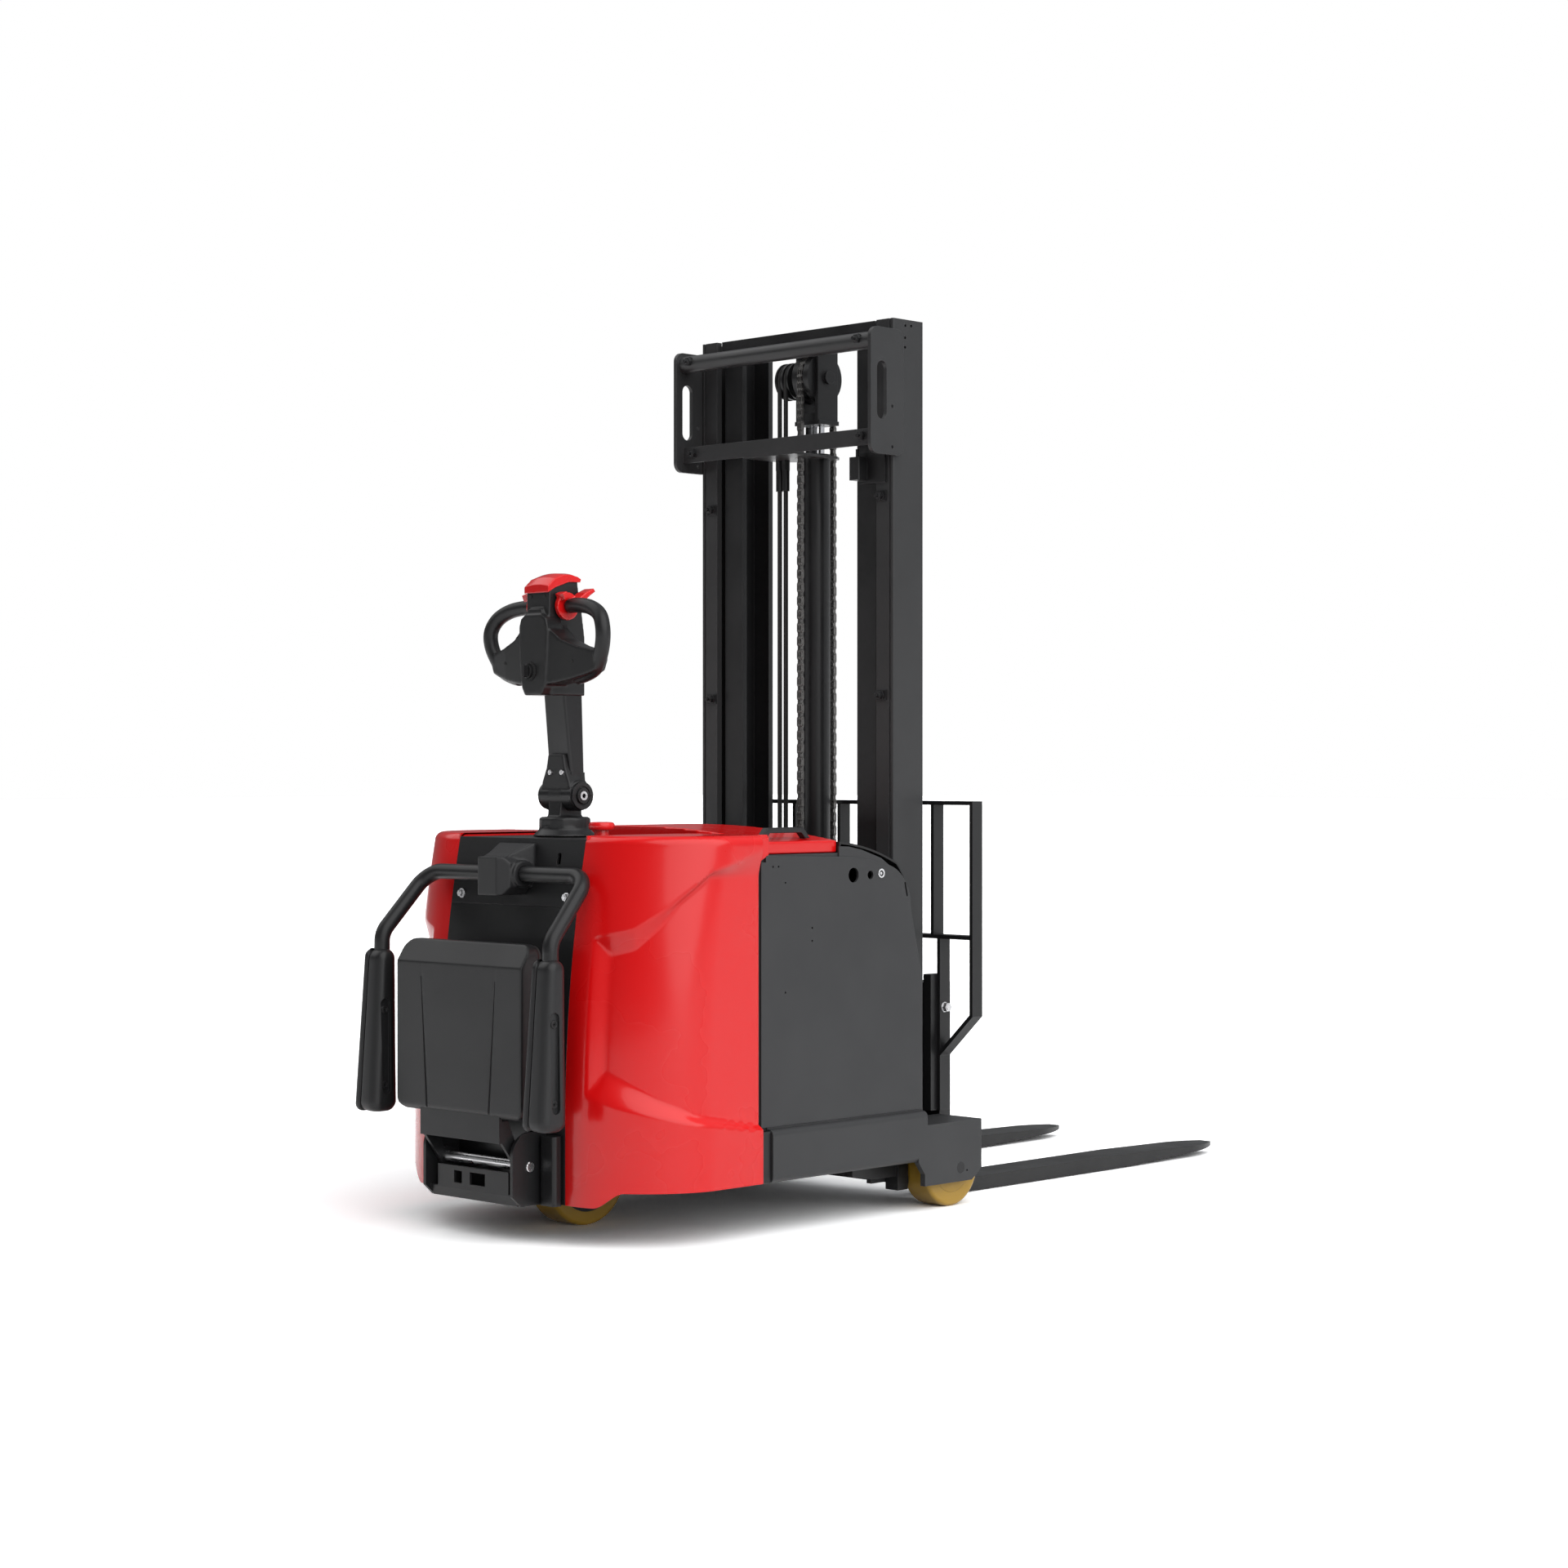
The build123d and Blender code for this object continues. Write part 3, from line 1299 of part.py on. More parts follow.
with BuildPart() as tiller_head:
    with BuildSketch(across(-head_half)):
        with BuildLine():
            Polyline(
                (-799, 1380),
                (-800, 1342),
                (head_rear, 1325),
                (head_rear, 1215),
                (-795, head_low_z),
                (-699, head_low_z),
                (-704, 1250),
                (head_fore, 1310),
                (head_fore, 1385),
            )
            ThreePointArc((head_fore, 1385), (-758, head_top), (-799, 1380))
        make_face()
    extrude(amount=2 * head_half)
    fillet(tiller_head.edges().filter_by(Axis.Z).group_by(Axis.Y)[0], 8)
    for hand in (-1, 1):
        with BuildSketch(facing_rear(-748)):
            with BuildLine():
                Polyline(
                    (hand * 30, 1330),
                    (hand * 58, 1292),
                    (hand * 110, 1262),
                    (hand * 182, 1240),
                )
                ThreePointArc((hand * 182, 1240), (hand * 150, 1199), (hand * 100, 1180))
                Polyline((hand * 100, 1180), (hand * 60, 1170), (hand * 30, 1168), (hand * 30, 1330))
            make_face()
        extrude(amount=46)
        with BuildLine() as loop:
            FilletPolyline(
                (hand * grip_start, mast_y + paddle_y, paddle_z),
                (hand * 110, mast_y + paddle_y, paddle_z),
                (hand * 197, mast_y - 770, 1345),
                (hand * 200, mast_y - 776, 1238),
                (hand * 140, mast_y - 772, 1196),
                radius=38,
            )
        with BuildSketch(Plane(origin=loop.line @ 0, z_dir=loop.line % 0)):
            Circle(grip_radius)
        sweep(path=loop.line)
    cross_bar(shaft_radius + run_gap, (-head_half - 1, head_half + 1), paddle_y, paddle_z, Mode.SUBTRACT)
    post(stem_radius + run_gap, 0, paddle_y, (head_top - 26, head_top + 1), Mode.SUBTRACT)
    with BuildSketch(facing_rear(head_rear + 1)):
        with Locations((key_x, key_z)):
            Circle(22)
    extrude(amount=4)
    with BuildSketch(facing_rear(head_rear - 4)):
        with Locations((key_x, key_z)):
            Circle(key_radius + run_gap)
    extrude(amount=-16, mode=Mode.SUBTRACT)
    with BuildSketch(facing_rear(head_rear)):
        with Locations((0, 1278)):
            Rectangle(54, 62)
    extrude(amount=-1.5, mode=Mode.SUBTRACT)
finish(tiller_head.part, "tiller_head")

# Key switch: turning knob in the rear face of the head.
with BuildPart() as key_knob:
    with BuildSketch(facing_rear(head_rear + 8)):
        with Locations((key_x, key_z)):
            Circle(key_radius)
    extrude(amount=20)
    with BuildSketch(facing_rear(head_rear - 12)):
        with Locations((key_x, key_z)):
            RectangleRounded(8, 26, 3)
    extrude(amount=10)
finish(key_knob.part, "key_knob")

# Belly button: red safety cap on top of the head, sliding on its stem.
belly_travel = 5.0
cap_gap = belly_travel + 1
cap_thick = 7.0
cap_half = head_half

with BuildPart() as belly_button:
    with BuildSketch(across(-cap_half)):
        with BuildLine():
            low = ThreePointArc(
                (-802, 1386 + cap_gap),
                (-758, head_top + cap_gap),
                (head_fore - 2, 1390 + cap_gap),
            )
            Line(low @ 1, (head_fore + 2, 1392 + cap_gap + cap_thick))
            ThreePointArc(
                (head_fore + 2, 1392 + cap_gap + cap_thick),
                (-758, head_top + cap_gap + cap_thick),
                (-808, 1388 + cap_gap),
            )
            Line((-808, 1388 + cap_gap), low @ 0)
        make_face()
    extrude(amount=2 * cap_half)
    post(stem_radius, 0, paddle_y, (head_top - 12, head_top + cap_gap + 3))
finish(belly_button.part, "belly_button")

# Butterfly throttle: a disc and thumb paddle at each end of a shaft through the head.
with BuildPart() as throttle:
    cross_bar(shaft_radius, (-head_half - 2, head_half + 2), paddle_y, paddle_z)
    for disc_x in both_ways(head_half + seat_gap, head_half + seat_gap + disc_width):
        cross_bar(disc_radius, disc_x, paddle_y, paddle_z)
        with BuildSketch(across(disc_x[0])):
            with BuildLine():
                Polyline(
                    (paddle_y + 8, paddle_z + 24),
                    (paddle_y + 50, paddle_z + 42),
                    (paddle_y + 54, paddle_z + 32),
                    (paddle_y + 27, paddle_z + 8),
                    close=True,
                )
            make_face()
        extrude(amount=disc_x[1] - disc_x[0])
finish(throttle.part, "throttle")

# Platform bracket: welded side plates and cross plate behind the rear panel, with the pivot bores.
bracket_side = (139.0, 147.0)
bracket_low = 81.0
bracket_high = 235.0
bracket_rear = -1000.0
hinge_radius = 11.0
strap_x = (122.0, 130.0)
web_z = (104.0, 150.0)
web_y = (-985.0, -979.0)
post_x = (153.0, 200.0)

with BuildPart() as platform_bracket:
    for ends in both_ways(*bracket_side):
        with BuildSketch(across(ends[0])):
            with BuildLine():
                Polyline(
                    (bracket_rear, 185),
                    (bracket_rear, 103),
                    (bracket_rear + 24, bracket_low),
                    (rear_y - seat_gap, bracket_low),
                    (rear_y - seat_gap, bracket_high),
                    (bracket_rear + 44, bracket_high),
                )
                ThreePointArc(
                    (bracket_rear + 44, bracket_high),
                    (bracket_rear + 14, 221),
                    (bracket_rear, 185),
                )
            make_face()
            with Locations((hinge_y, hinge_z)):
                Circle(hinge_radius, mode=Mode.SUBTRACT)
        extrude(amount=bracket_side[1] - bracket_side[0])
    inside = (-bracket_side[0], bracket_side[0])
    block(inside, (web_y[1], rear_y - seat_gap), (bracket_low, bracket_low + 6))
    block((-strap_x[0] + 6, strap_x[0] - 6), web_y, web_z)
    with BuildSketch(across(-bracket_side[0])):
        with BuildLine():
            Polyline(
                (web_y[0], web_z[0]),
                (web_y[0], web_z[0] - 3),
                (web_y[1], bracket_low),
                (web_y[1] + 8, bracket_low),
                (web_y[1], web_z[0]),
                close=True,
            )
        make_face()
    extrude(amount=2 * bracket_side[0])
    block((-62, -36), web_y, (web_z[0] + 10, web_z[1] - 10), Mode.SUBTRACT)
    block((-10, 40), web_y, (web_z[0] + 10, web_z[1] - 10), Mode.SUBTRACT)
    for ends in both_ways(*post_x):
        with BuildSketch(level(bracket_low)):
            with Locations((sum(ends) / 2, rear_y - seat_gap - 12)):
                RectangleRounded(post_x[1] - post_x[0], 24, 8)
        extrude(amount=bracket_high - 8 - bracket_low)
    for z in (bracket_low + 4, bracket_high - 30):
        for ends in both_ways(bracket_side[1] - 1, post_x[0] + 6):
            block(ends, (rear_y - seat_gap - 8, rear_y - seat_gap), (z, z + 18))
finish(platform_bracket.part, "platform_bracket")

# Platform pivot pin, held in the bracket plates.
with BuildPart() as platform_pin:
    cross_bar(hinge_radius, (-bracket_side[1] - 4, bracket_side[1] + 4), hinge_y, hinge_z)
    chamfer(platform_pin.edges().filter_by(GeomType.CIRCLE), 1.5)
finish(platform_pin.part, "platform_pin")

# Platform frame: hub straps on the pivot pin, back plate and stiffening ribs.
strap_hub_radius = 20.0
plate_y = (-1022.0, -1014.0)
plate_top = 560.0
strap_top = 262.0
frame_half = 130.0
rib_x = (60.0, 66.0)
shell_wall = 5.0
shell_front = -975.0

with BuildPart() as platform_frame:
    for ends in both_ways(*strap_x):
        with BuildSketch(across(ends[0])):
            with BuildLine():
                Polyline(
                    (hinge_y - 10, hinge_z + 17.3),
                    (plate_y[1] + 16, strap_top),
                    (plate_y[1], strap_top),
                    (plate_y[1], 215),
                    (hinge_y - 14, hinge_z - 14),
                    (hinge_y, hinge_z),
                    close=True,
                )
            make_face()
            with Locations((hinge_y, hinge_z)):
                Circle(strap_hub_radius)
                Circle(hinge_radius + run_gap, mode=Mode.SUBTRACT)
        extrude(amount=strap_x[1] - strap_x[0])
    block((-frame_half, frame_half), plate_y, (215.0, plate_top))
    for ends in both_ways(*rib_x):
        block(ends, (plate_y[1], shell_front - seat_gap), (platform_low + shell_wall + 1, plate_top))
finish(platform_frame.part, "platform_frame")

# Platform shell: moulded tray with rounded edges, open towards the tread.
platform_corner = 28.0
platform_bevel = 585.0
crease_depth = 1.2

with BuildPart() as platform_shell:
    with BuildSketch(facing_rear(shell_front)):
        with Locations((0, (platform_low + platform_high) / 2)):
            RectangleRounded(2 * platform_half, platform_high - platform_low, platform_corner)
    extrude(amount=shell_front - platform_rear)
    with BuildSketch(across(-platform_half)):
        with BuildLine():
            Polyline(
                (shell_front, platform_low),
                (platform_rear + 8, platform_low),
                (platform_rear, platform_low + 10),
                (platform_rear, platform_bevel),
                (platform_rear + 30, platform_high),
                (shell_front, platform_high),
                close=True,
            )
        make_face()
    extrude(amount=2 * platform_half, mode=Mode.INTERSECT)
    with BuildSketch(facing_rear(shell_front)):
        with Locations((0, (platform_low + plate_top + shell_wall) / 2)):
            RectangleRounded(
                2 * (platform_half - shell_wall),
                plate_top - platform_low - shell_wall,
                platform_corner - shell_wall,
            )
    extrude(amount=shell_front - plate_y[0], mode=Mode.SUBTRACT)
    block(
        (-frame_half - 1, frame_half + 1),
        (plate_y[0], shell_front),
        (platform_low - 1, platform_low + shell_wall + 1),
        Mode.SUBTRACT,
    )
    for hand in (-1, 1):
        with BuildSketch(facing_rear(platform_rear)):
            with BuildLine():
                Polyline(
                    (hand * 100, platform_low),
                    (hand * 103, platform_low),
                    (hand * 123, platform_bevel),
                    (hand * 120, platform_bevel),
                    close=True,
                )
            make_face()
        extrude(amount=-crease_depth, mode=Mode.SUBTRACT)
finish(platform_shell.part, "platform_shell")

# Platform tread: ribbed rubber mat that closes the tray.
tread_thick = 8.0
rib_pitch = 24.0

with BuildPart() as platform_tread:
    with BuildSketch(facing_rear(shell_front + tread_thick - 2)):
        with Locations((0, (platform_low + platform_high) / 2)):
            RectangleRounded(
                2 * platform_half - 6,
                platform_high - platform_low - 6,
                platform_corner - 3,
            )
    extrude(amount=tread_thick - 2)
    rib_count = int((2 * platform_half - 60) / rib_pitch)
    for step in range(rib_count):
        rib_middle = (step - (rib_count - 1) / 2) * rib_pitch
        block(
            (rib_middle - 6, rib_middle + 6),
            (shell_front + tread_thick - 2, shell_front + tread_thick),
            (platform_low + 20, platform_high - 20),
        )
finish(platform_tread.part, "platform_tread")

# Arm housing: block on the deck shroud that carries both side arms.
housing_half = 50.0
housing_z = (727.0, 812.0)
housing_rear = -945.0
arm_collar_radius = 28.5
arm_collar_out = 58.0

with BuildPart() as arm_housing:
    with BuildSketch(across(-housing_half)):
        with BuildLine():
            face = ThreePointArc(*[(rear_line(z) - seat_gap, z) for z in (727.0, 769.5, 812.0)])
            Polyline(
                face @ 1,
                (housing_rear + 12, housing_z[1]),
                (housing_rear, housing_z[1] - 12),
                (housing_rear, housing_z[0] + 12),
                (housing_rear + 12, housing_z[0]),
                face @ 0,
            )
        make_face()
    extrude(amount=2 * housing_half)
    with BuildSketch(level(housing_z[0])):
        with BuildLine():
            Polyline(
                (-housing_half, -850),
                (-housing_half, housing_rear + 20),
                (-housing_half + 20, housing_rear),
                (housing_half - 20, housing_rear),
                (housing_half, housing_rear + 20),
                (housing_half, -850),
                close=True,
            )
        make_face()
    extrude(amount=housing_z[1] - housing_z[0], mode=Mode.INTERSECT)
    for ends in both_ways(housing_half - 2, arm_collar_out):
        cross_bar(arm_collar_radius, ends, arm_axis_y, arm_axis_z)
    for ends in both_ways(14.0, arm_collar_out + 1):
        cross_bar(arm_tube_radius + run_gap, ends, arm_axis_y, arm_axis_z, Mode.SUBTRACT)
    for x in (-30, 30):
        with Locations(Location((x, mast_y + housing_rear, 770), (90, 0, 0))):
            Cylinder(6, 8, mode=Mode.SUBTRACT)
finish(arm_housing.part, "arm_housing")

# Side arms: bent tubes that turn in the housing, each with a moulded hip pad.
arm_inner = 15.0
arm_bend_x = 262.0
arm_drop_z = 640.0
arm_tip_z = 285.0
arm_bend_radius = 50.0
pad_y = -1010.0
pad_low_half = 35.5
pad_high_half = 29.0
pad_high_rear = -1037.0
pad_corner = 17.0
slot_z = (290.0, 500.0)
slot_half = 12.0

for hand, word in ((1, "right"), (-1, "left")):
    with BuildPart() as arm_tube:
        with BuildLine() as arm_path:
            FilletPolyline(
                (hand * arm_inner, mast_y + arm_axis_y, arm_axis_z),
                (hand * arm_bend_x, mast_y + arm_axis_y, arm_axis_z),
                (hand * pad_x, mast_y + pad_y, arm_drop_z),
                (hand * pad_x, mast_y + pad_y, arm_tip_z),
                radius=arm_bend_radius,
            )
        with BuildSketch(Plane(origin=arm_path.line @ 0, z_dir=arm_path.line % 0)):
            Circle(arm_tube_radius)
        sweep(path=arm_path.line)
    finish(arm_tube.part, f"arm_tube_{word}")

    with BuildPart() as arm_pad:
        for z, half, back in (
            (pad_low, pad_low_half, pad_rear),
            (pad_high, pad_high_half, pad_high_rear),
        ):
            with BuildSketch(level(z)):
                with Locations((hand * pad_x, (back + pad_front) / 2)):
                    RectangleRounded(2 * half, pad_front - back, pad_corner)
        loft()
        fillet(arm_pad.faces().sort_by(Axis.Z)[0].edges(), 4)
        fillet(arm_pad.faces().sort_by(Axis.Z)[-1].edges(), 4)
        post(
            arm_tube_radius + run_gap,
            hand * pad_x,
            pad_y,
            (arm_tip_z - seat_gap, pad_high + 1),
            Mode.SUBTRACT,
        )
        with BuildSketch(across(pad_x * hand + pad_low_half)):
            with Locations((pad_y - 14, sum(slot_z) / 2)):
                SlotCenterToCenter(slot_z[1] - slot_z[0] - 2 * slot_half, 2 * slot_half, rotation=90)
        extrude(amount=-9, mode=Mode.SUBTRACT)
        for z in (slot_z[0] + 21, slot_z[1] - 25):
            cross_bar(
                5.0,
                (hand * pad_x + pad_low_half - 14, hand * pad_x + pad_low_half - 4),
                pad_y - 14,
                z,
            )
    finish(arm_pad.part, f"arm_pad_{word}")
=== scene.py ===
"""Counterbalance stacker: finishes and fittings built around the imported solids."""

import math

import bmesh
import bpy
from mathutils import Matrix, Vector


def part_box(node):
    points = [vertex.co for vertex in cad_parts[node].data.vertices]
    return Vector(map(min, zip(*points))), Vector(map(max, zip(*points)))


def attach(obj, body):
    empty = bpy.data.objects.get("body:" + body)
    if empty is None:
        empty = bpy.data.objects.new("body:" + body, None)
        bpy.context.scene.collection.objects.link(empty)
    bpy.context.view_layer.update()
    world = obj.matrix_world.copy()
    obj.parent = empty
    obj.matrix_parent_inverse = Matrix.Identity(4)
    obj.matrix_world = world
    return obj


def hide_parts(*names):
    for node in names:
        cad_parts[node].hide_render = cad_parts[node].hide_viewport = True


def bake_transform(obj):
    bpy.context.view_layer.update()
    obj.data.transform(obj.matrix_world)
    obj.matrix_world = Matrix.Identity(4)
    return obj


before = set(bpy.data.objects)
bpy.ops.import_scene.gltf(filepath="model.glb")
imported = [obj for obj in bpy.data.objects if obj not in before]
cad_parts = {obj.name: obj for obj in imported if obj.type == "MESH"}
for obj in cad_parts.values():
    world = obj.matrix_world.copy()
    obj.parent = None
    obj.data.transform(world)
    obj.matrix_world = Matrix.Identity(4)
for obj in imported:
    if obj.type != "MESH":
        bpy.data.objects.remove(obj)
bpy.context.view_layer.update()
# Lengths are in metres; MM turns the shapes that are given in millimetres into them.
MM = 1000
# Y of the plane that every shape's own Y below is measured from.
MAST = -0.110

# Camera: stands behind the machine's right rear corner at chest height and looks level,
# through a long lens, with a slight frame shift that puts the machine where it stands.
camera = bpy.data.objects.new("camera", bpy.data.cameras.new("camera"))
bpy.context.scene.collection.objects.link(camera)
camera.location = (4.8904, MAST - 5.0708, 0.9966)
camera.rotation_euler = (math.radians(90), 0, math.radians(44.22))
camera.data.lens = 68.52
camera.data.sensor_width = 36
camera.data.shift_x = 0.00175
camera.data.shift_y = -0.00934
camera.data.clip_end = 200
bpy.context.scene.camera = camera
bpy.context.scene.view_settings.view_transform = "Standard"

# Studio: a pale floor that runs out to a white background, soft light from all round
# and two broad lamps, so that the machine stands on its own soft shadow.
FLOOR_LIT = (0.42, 0.42, 0.42, 1)
FLOOR_SEEN = (1.42, 1.42, 1.42, 1)


def for_rays(tree, *rays):
    """Value that is 1 for these two kinds of ray and 0 for all others."""
    path = tree.nodes.new("ShaderNodeLightPath")
    either = tree.nodes.new("ShaderNodeMath")
    either.operation = "MAXIMUM"
    for i, ray in enumerate(rays):
        tree.links.new(path.outputs[ray], either.inputs[i])
    return either.outputs[0]


def by_ray(tree, share, lighting, seen, output):
    """Output that lights the scene with one shader and shows another."""
    blend = tree.nodes.new("ShaderNodeMixShader")
    tree.links.new(share, blend.inputs["Fac"])
    tree.links.new(lighting.outputs[0], blend.inputs[1])
    tree.links.new(seen.outputs[0], blend.inputs[2])
    tree.links.new(blend.outputs[0], tree.nodes[output].inputs["Surface"])


bpy.ops.mesh.primitive_plane_add(size=160, location=(0, 0, 0))
floor = bpy.context.object
floor.name = "floor"
floor_finish = bpy.data.materials.new("studio floor")
floor_finish.use_nodes = True
tree = floor_finish.node_tree
tree.nodes.remove(tree.nodes["Principled BSDF"])
share = for_rays(tree, "Is Camera Ray", "Is Glossy Ray")
plain = tree.nodes.new("ShaderNodeBsdfDiffuse")
plain.inputs["Color"].default_value = FLOOR_LIT
bright = tree.nodes.new("ShaderNodeBsdfDiffuse")
bright.inputs["Color"].default_value = FLOOR_SEEN
by_ray(tree, share, plain, bright, "Material Output")
floor.data.materials.append(floor_finish)

sky = bpy.data.worlds.new("studio")
bpy.context.scene.world = sky
sky.use_nodes = True
tree = sky.node_tree
soft = tree.nodes["Background"]
soft.inputs["Color"].default_value = (0.95, 0.97, 1.0, 1)
toward = tree.nodes.new("ShaderNodeTexCoord")
panel = tree.nodes.new("ShaderNodeVectorMath")
panel.operation = "DOT_PRODUCT"
panel.inputs[1].default_value = (0.60, 0.72, 0.35)
tree.links.new(toward.outputs["Generated"], panel.inputs[0])
glow = tree.nodes.new("ShaderNodeMapRange")
glow.interpolation_type = "SMOOTHSTEP"
for setting, value in (("From Min", -0.1), ("From Max", 0.75), ("To Min", 0.12), ("To Max", 0.56)):
    glow.inputs[setting].default_value = value
tree.links.new(panel.outputs["Value"], glow.inputs["Value"])
tree.links.new(glow.outputs["Result"], soft.inputs["Strength"])
white = tree.nodes.new("ShaderNodeBackground")
white.inputs["Color"].default_value = (1, 1, 1, 1)
white.inputs["Strength"].default_value = 1.0
share = for_rays(tree, "Is Camera Ray", "Is Transmission Ray")
by_ray(tree, share, soft, white, "World Output")

for lamp_name, strength, spread, turn in (
    ("key lamp", 2.65, 80, (50, 0, 78)),
    ("fill lamp", 0.9, 60, (42, 0, -70)),
):
    lamp = bpy.data.objects.new(lamp_name, bpy.data.lights.new(lamp_name, "SUN"))
    bpy.context.scene.collection.objects.link(lamp)
    lamp.data.energy = strength
    lamp.data.angle = math.radians(spread)
    lamp.rotation_euler = [math.radians(angle) for angle in turn]


# Painted steel: chassis rail, wheel legs and side panels in satin dark grey powder coat,
# which shows a fine orange peel, faint handling marks and slightly rubbed edges.
def finish_start(name, colour, roughness, metallic=0.0):
    """A named material, with its tree, its shader and the piece's own coordinates."""
    finish = bpy.data.materials.new(name)
    finish.use_nodes = True
    tree = finish.node_tree
    shader = tree.nodes["Principled BSDF"]
    shader.inputs["Base Color"].default_value = (*colour, 1)
    shader.inputs["Roughness"].default_value = roughness
    shader.inputs["Metallic"].default_value = metallic
    shader.inputs["Specular IOR Level"].default_value = 0.5 if metallic else 0.3
    coords = tree.nodes.new("ShaderNodeTexCoord").outputs["Object"]
    return finish, tree, shader, coords


def mottle(tree, coords, size, low, high):
    """Cloudy value between low and high, with patches of about size metres."""
    cloud = tree.nodes.new("ShaderNodeTexNoise")
    cloud.inputs["Scale"].default_value = 1 / size
    cloud.inputs["Detail"].default_value = 3.0
    tree.links.new(coords, cloud.inputs["Vector"])
    span = tree.nodes.new("ShaderNodeMapRange")
    span.interpolation_type = "SMOOTHERSTEP"
    span.inputs["From Min"].default_value = 0.2
    span.inputs["From Max"].default_value = 0.8
    span.inputs["To Min"].default_value = low
    span.inputs["To Max"].default_value = high
    tree.links.new(cloud.outputs["Fac"], span.inputs["Value"])
    return span.outputs["Result"]


def tint(tree, shader, share, colour, other):
    """Colour that runs from colour to other as share goes from 0 to 1."""
    ramp = tree.nodes.new("ShaderNodeMix")
    ramp.data_type = "RGBA"
    ramp.inputs["A"].default_value = (*colour, 1)
    ramp.inputs["B"].default_value = (*other, 1)
    tree.links.new(share, ramp.inputs["Factor"])
    tree.links.new(ramp.outputs["Result"], shader.inputs["Base Color"])


def rounded(tree, radius):
    """Normal that rounds the piece's sharp edges by radius metres."""
    bevel = tree.nodes.new("ShaderNodeBevel")
    bevel.samples = 4
    bevel.inputs["Radius"].default_value = radius
    return bevel.outputs["Normal"]


def grain(tree, shader, coords, size, depth, edge=0.0015):
    """Fine surface relief of about size metres on top of rounded edges."""
    cloud = tree.nodes.new("ShaderNodeTexNoise")
    cloud.inputs["Scale"].default_value = 1 / size
    cloud.inputs["Detail"].default_value = 2.0
    tree.links.new(coords, cloud.inputs["Vector"])
    relief = tree.nodes.new("ShaderNodeBump")
    relief.inputs["Distance"].default_value = depth
    relief.inputs["Strength"].default_value = 1.0
    tree.links.new(cloud.outputs["Fac"], relief.inputs["Height"])
    tree.links.new(rounded(tree, edge), relief.inputs["Normal"])
    tree.links.new(relief.outputs["Normal"], shader.inputs["Normal"])


def rub(tree, shader, coords, radius, share, worn):
    """Lighter rubbed paint where the piece's edges stand proud."""
    sharp = tree.nodes.new("ShaderNodeNewGeometry").outputs["Normal"]
    facing = tree.nodes.new("ShaderNodeVectorMath")
    facing.operation = "DOT_PRODUCT"
    tree.links.new(sharp, facing.inputs[0])
    tree.links.new(rounded(tree, radius), facing.inputs[1])
    edge = tree.nodes.new("ShaderNodeMapRange")
    edge.inputs["From Min"].default_value = 0.99
    edge.inputs["From Max"].default_value = 0.85
    edge.inputs["To Max"].default_value = share
    tree.links.new(facing.outputs["Value"], edge.inputs["Value"])
    patchy = tree.nodes.new("ShaderNodeMath")
    patchy.operation = "MULTIPLY"
    tree.links.new(edge.outputs["Result"], patchy.inputs[0])
    tree.links.new(mottle(tree, coords, 0.03, 0.1, 1.0), patchy.inputs[1])
    base = shader.inputs["Base Color"]
    source = base.links[0].from_socket if base.links else None
    over = tree.nodes.new("ShaderNodeMix")
    over.data_type = "RGBA"
    over.inputs["B"].default_value = (*worn, 1)
    if source:
        tree.links.new(source, over.inputs["A"])
    else:
        over.inputs["A"].default_value = base.default_value
    tree.links.new(patchy.outputs[0], over.inputs["Factor"])
    tree.links.new(over.outputs["Result"], base)


def powder_coat(name, colour, other, roughness=0.42):
    """Satin powder coat on steel."""
    finish, tree, shader, coords = finish_start(name, colour, roughness)
    tint(tree, shader, mottle(tree, coords, 0.35, 0.0, 1.0), colour, other)
    worn = [min(1, c * 2.6 + 0.02) for c in other]
    rub(tree, shader, coords, 0.0025, 0.35, worn)
    tree.links.new(
        mottle(tree, coords, 0.12, roughness - 0.05, roughness + 0.07), shader.inputs["Roughness"]
    )
    grain(tree, shader, coords, 0.0012, 0.00006)
    return finish


def dress(finish, *names):
    """Gives CAD nodes their finish."""
    for name in names:
        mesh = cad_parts[name].data
        mesh.materials.clear()
        mesh.materials.append(finish)


grey_coat = powder_coat("dark grey powder coat", (0.034, 0.0345, 0.036), (0.041, 0.0415, 0.043))
dress(grey_coat, "chassis_frame", "side_panel_right", "side_panel_left")

# Mast, carriage and steelwork behind the covers: rolled and welded steel in black coat,
# a touch glossier than the panels.
black_coat = powder_coat("black powder coat", (0.011, 0.011, 0.0115), (0.015, 0.015, 0.016), 0.34)
mast_coat = powder_coat("mast grey coat", (0.034, 0.0342, 0.035), (0.039, 0.0393, 0.0405), 0.36)
dress(mast_coat, "outer_mast", "mast_guard")
dress(
    black_coat,
    "inner_mast",
    "crosshead",
    "fork_carriage",
    "load_backrest",
    "lift_cylinder",
    "rear_subframe",
    "rear_panel",
    "platform_bracket",
    "platform_frame",
    "arm_housing",
    "arm_tube_right",
    "arm_tube_left",
    "tiller_arm",
    "steer_turret",
    "counterweight",
    "drive_motor",
    "load_axle_right",
    "load_axle_left",
    "drive_hub",
    "hose_fittings",
    "chain_sheave",
)

# Forks: forged steel blades in black paint, scuffed along the top where loads slide.
fork_paint = powder_coat("fork paint", (0.012, 0.012, 0.0125), (0.018, 0.0178, 0.0178), 0.42)
dress(fork_paint, "fork_right", "fork_left")


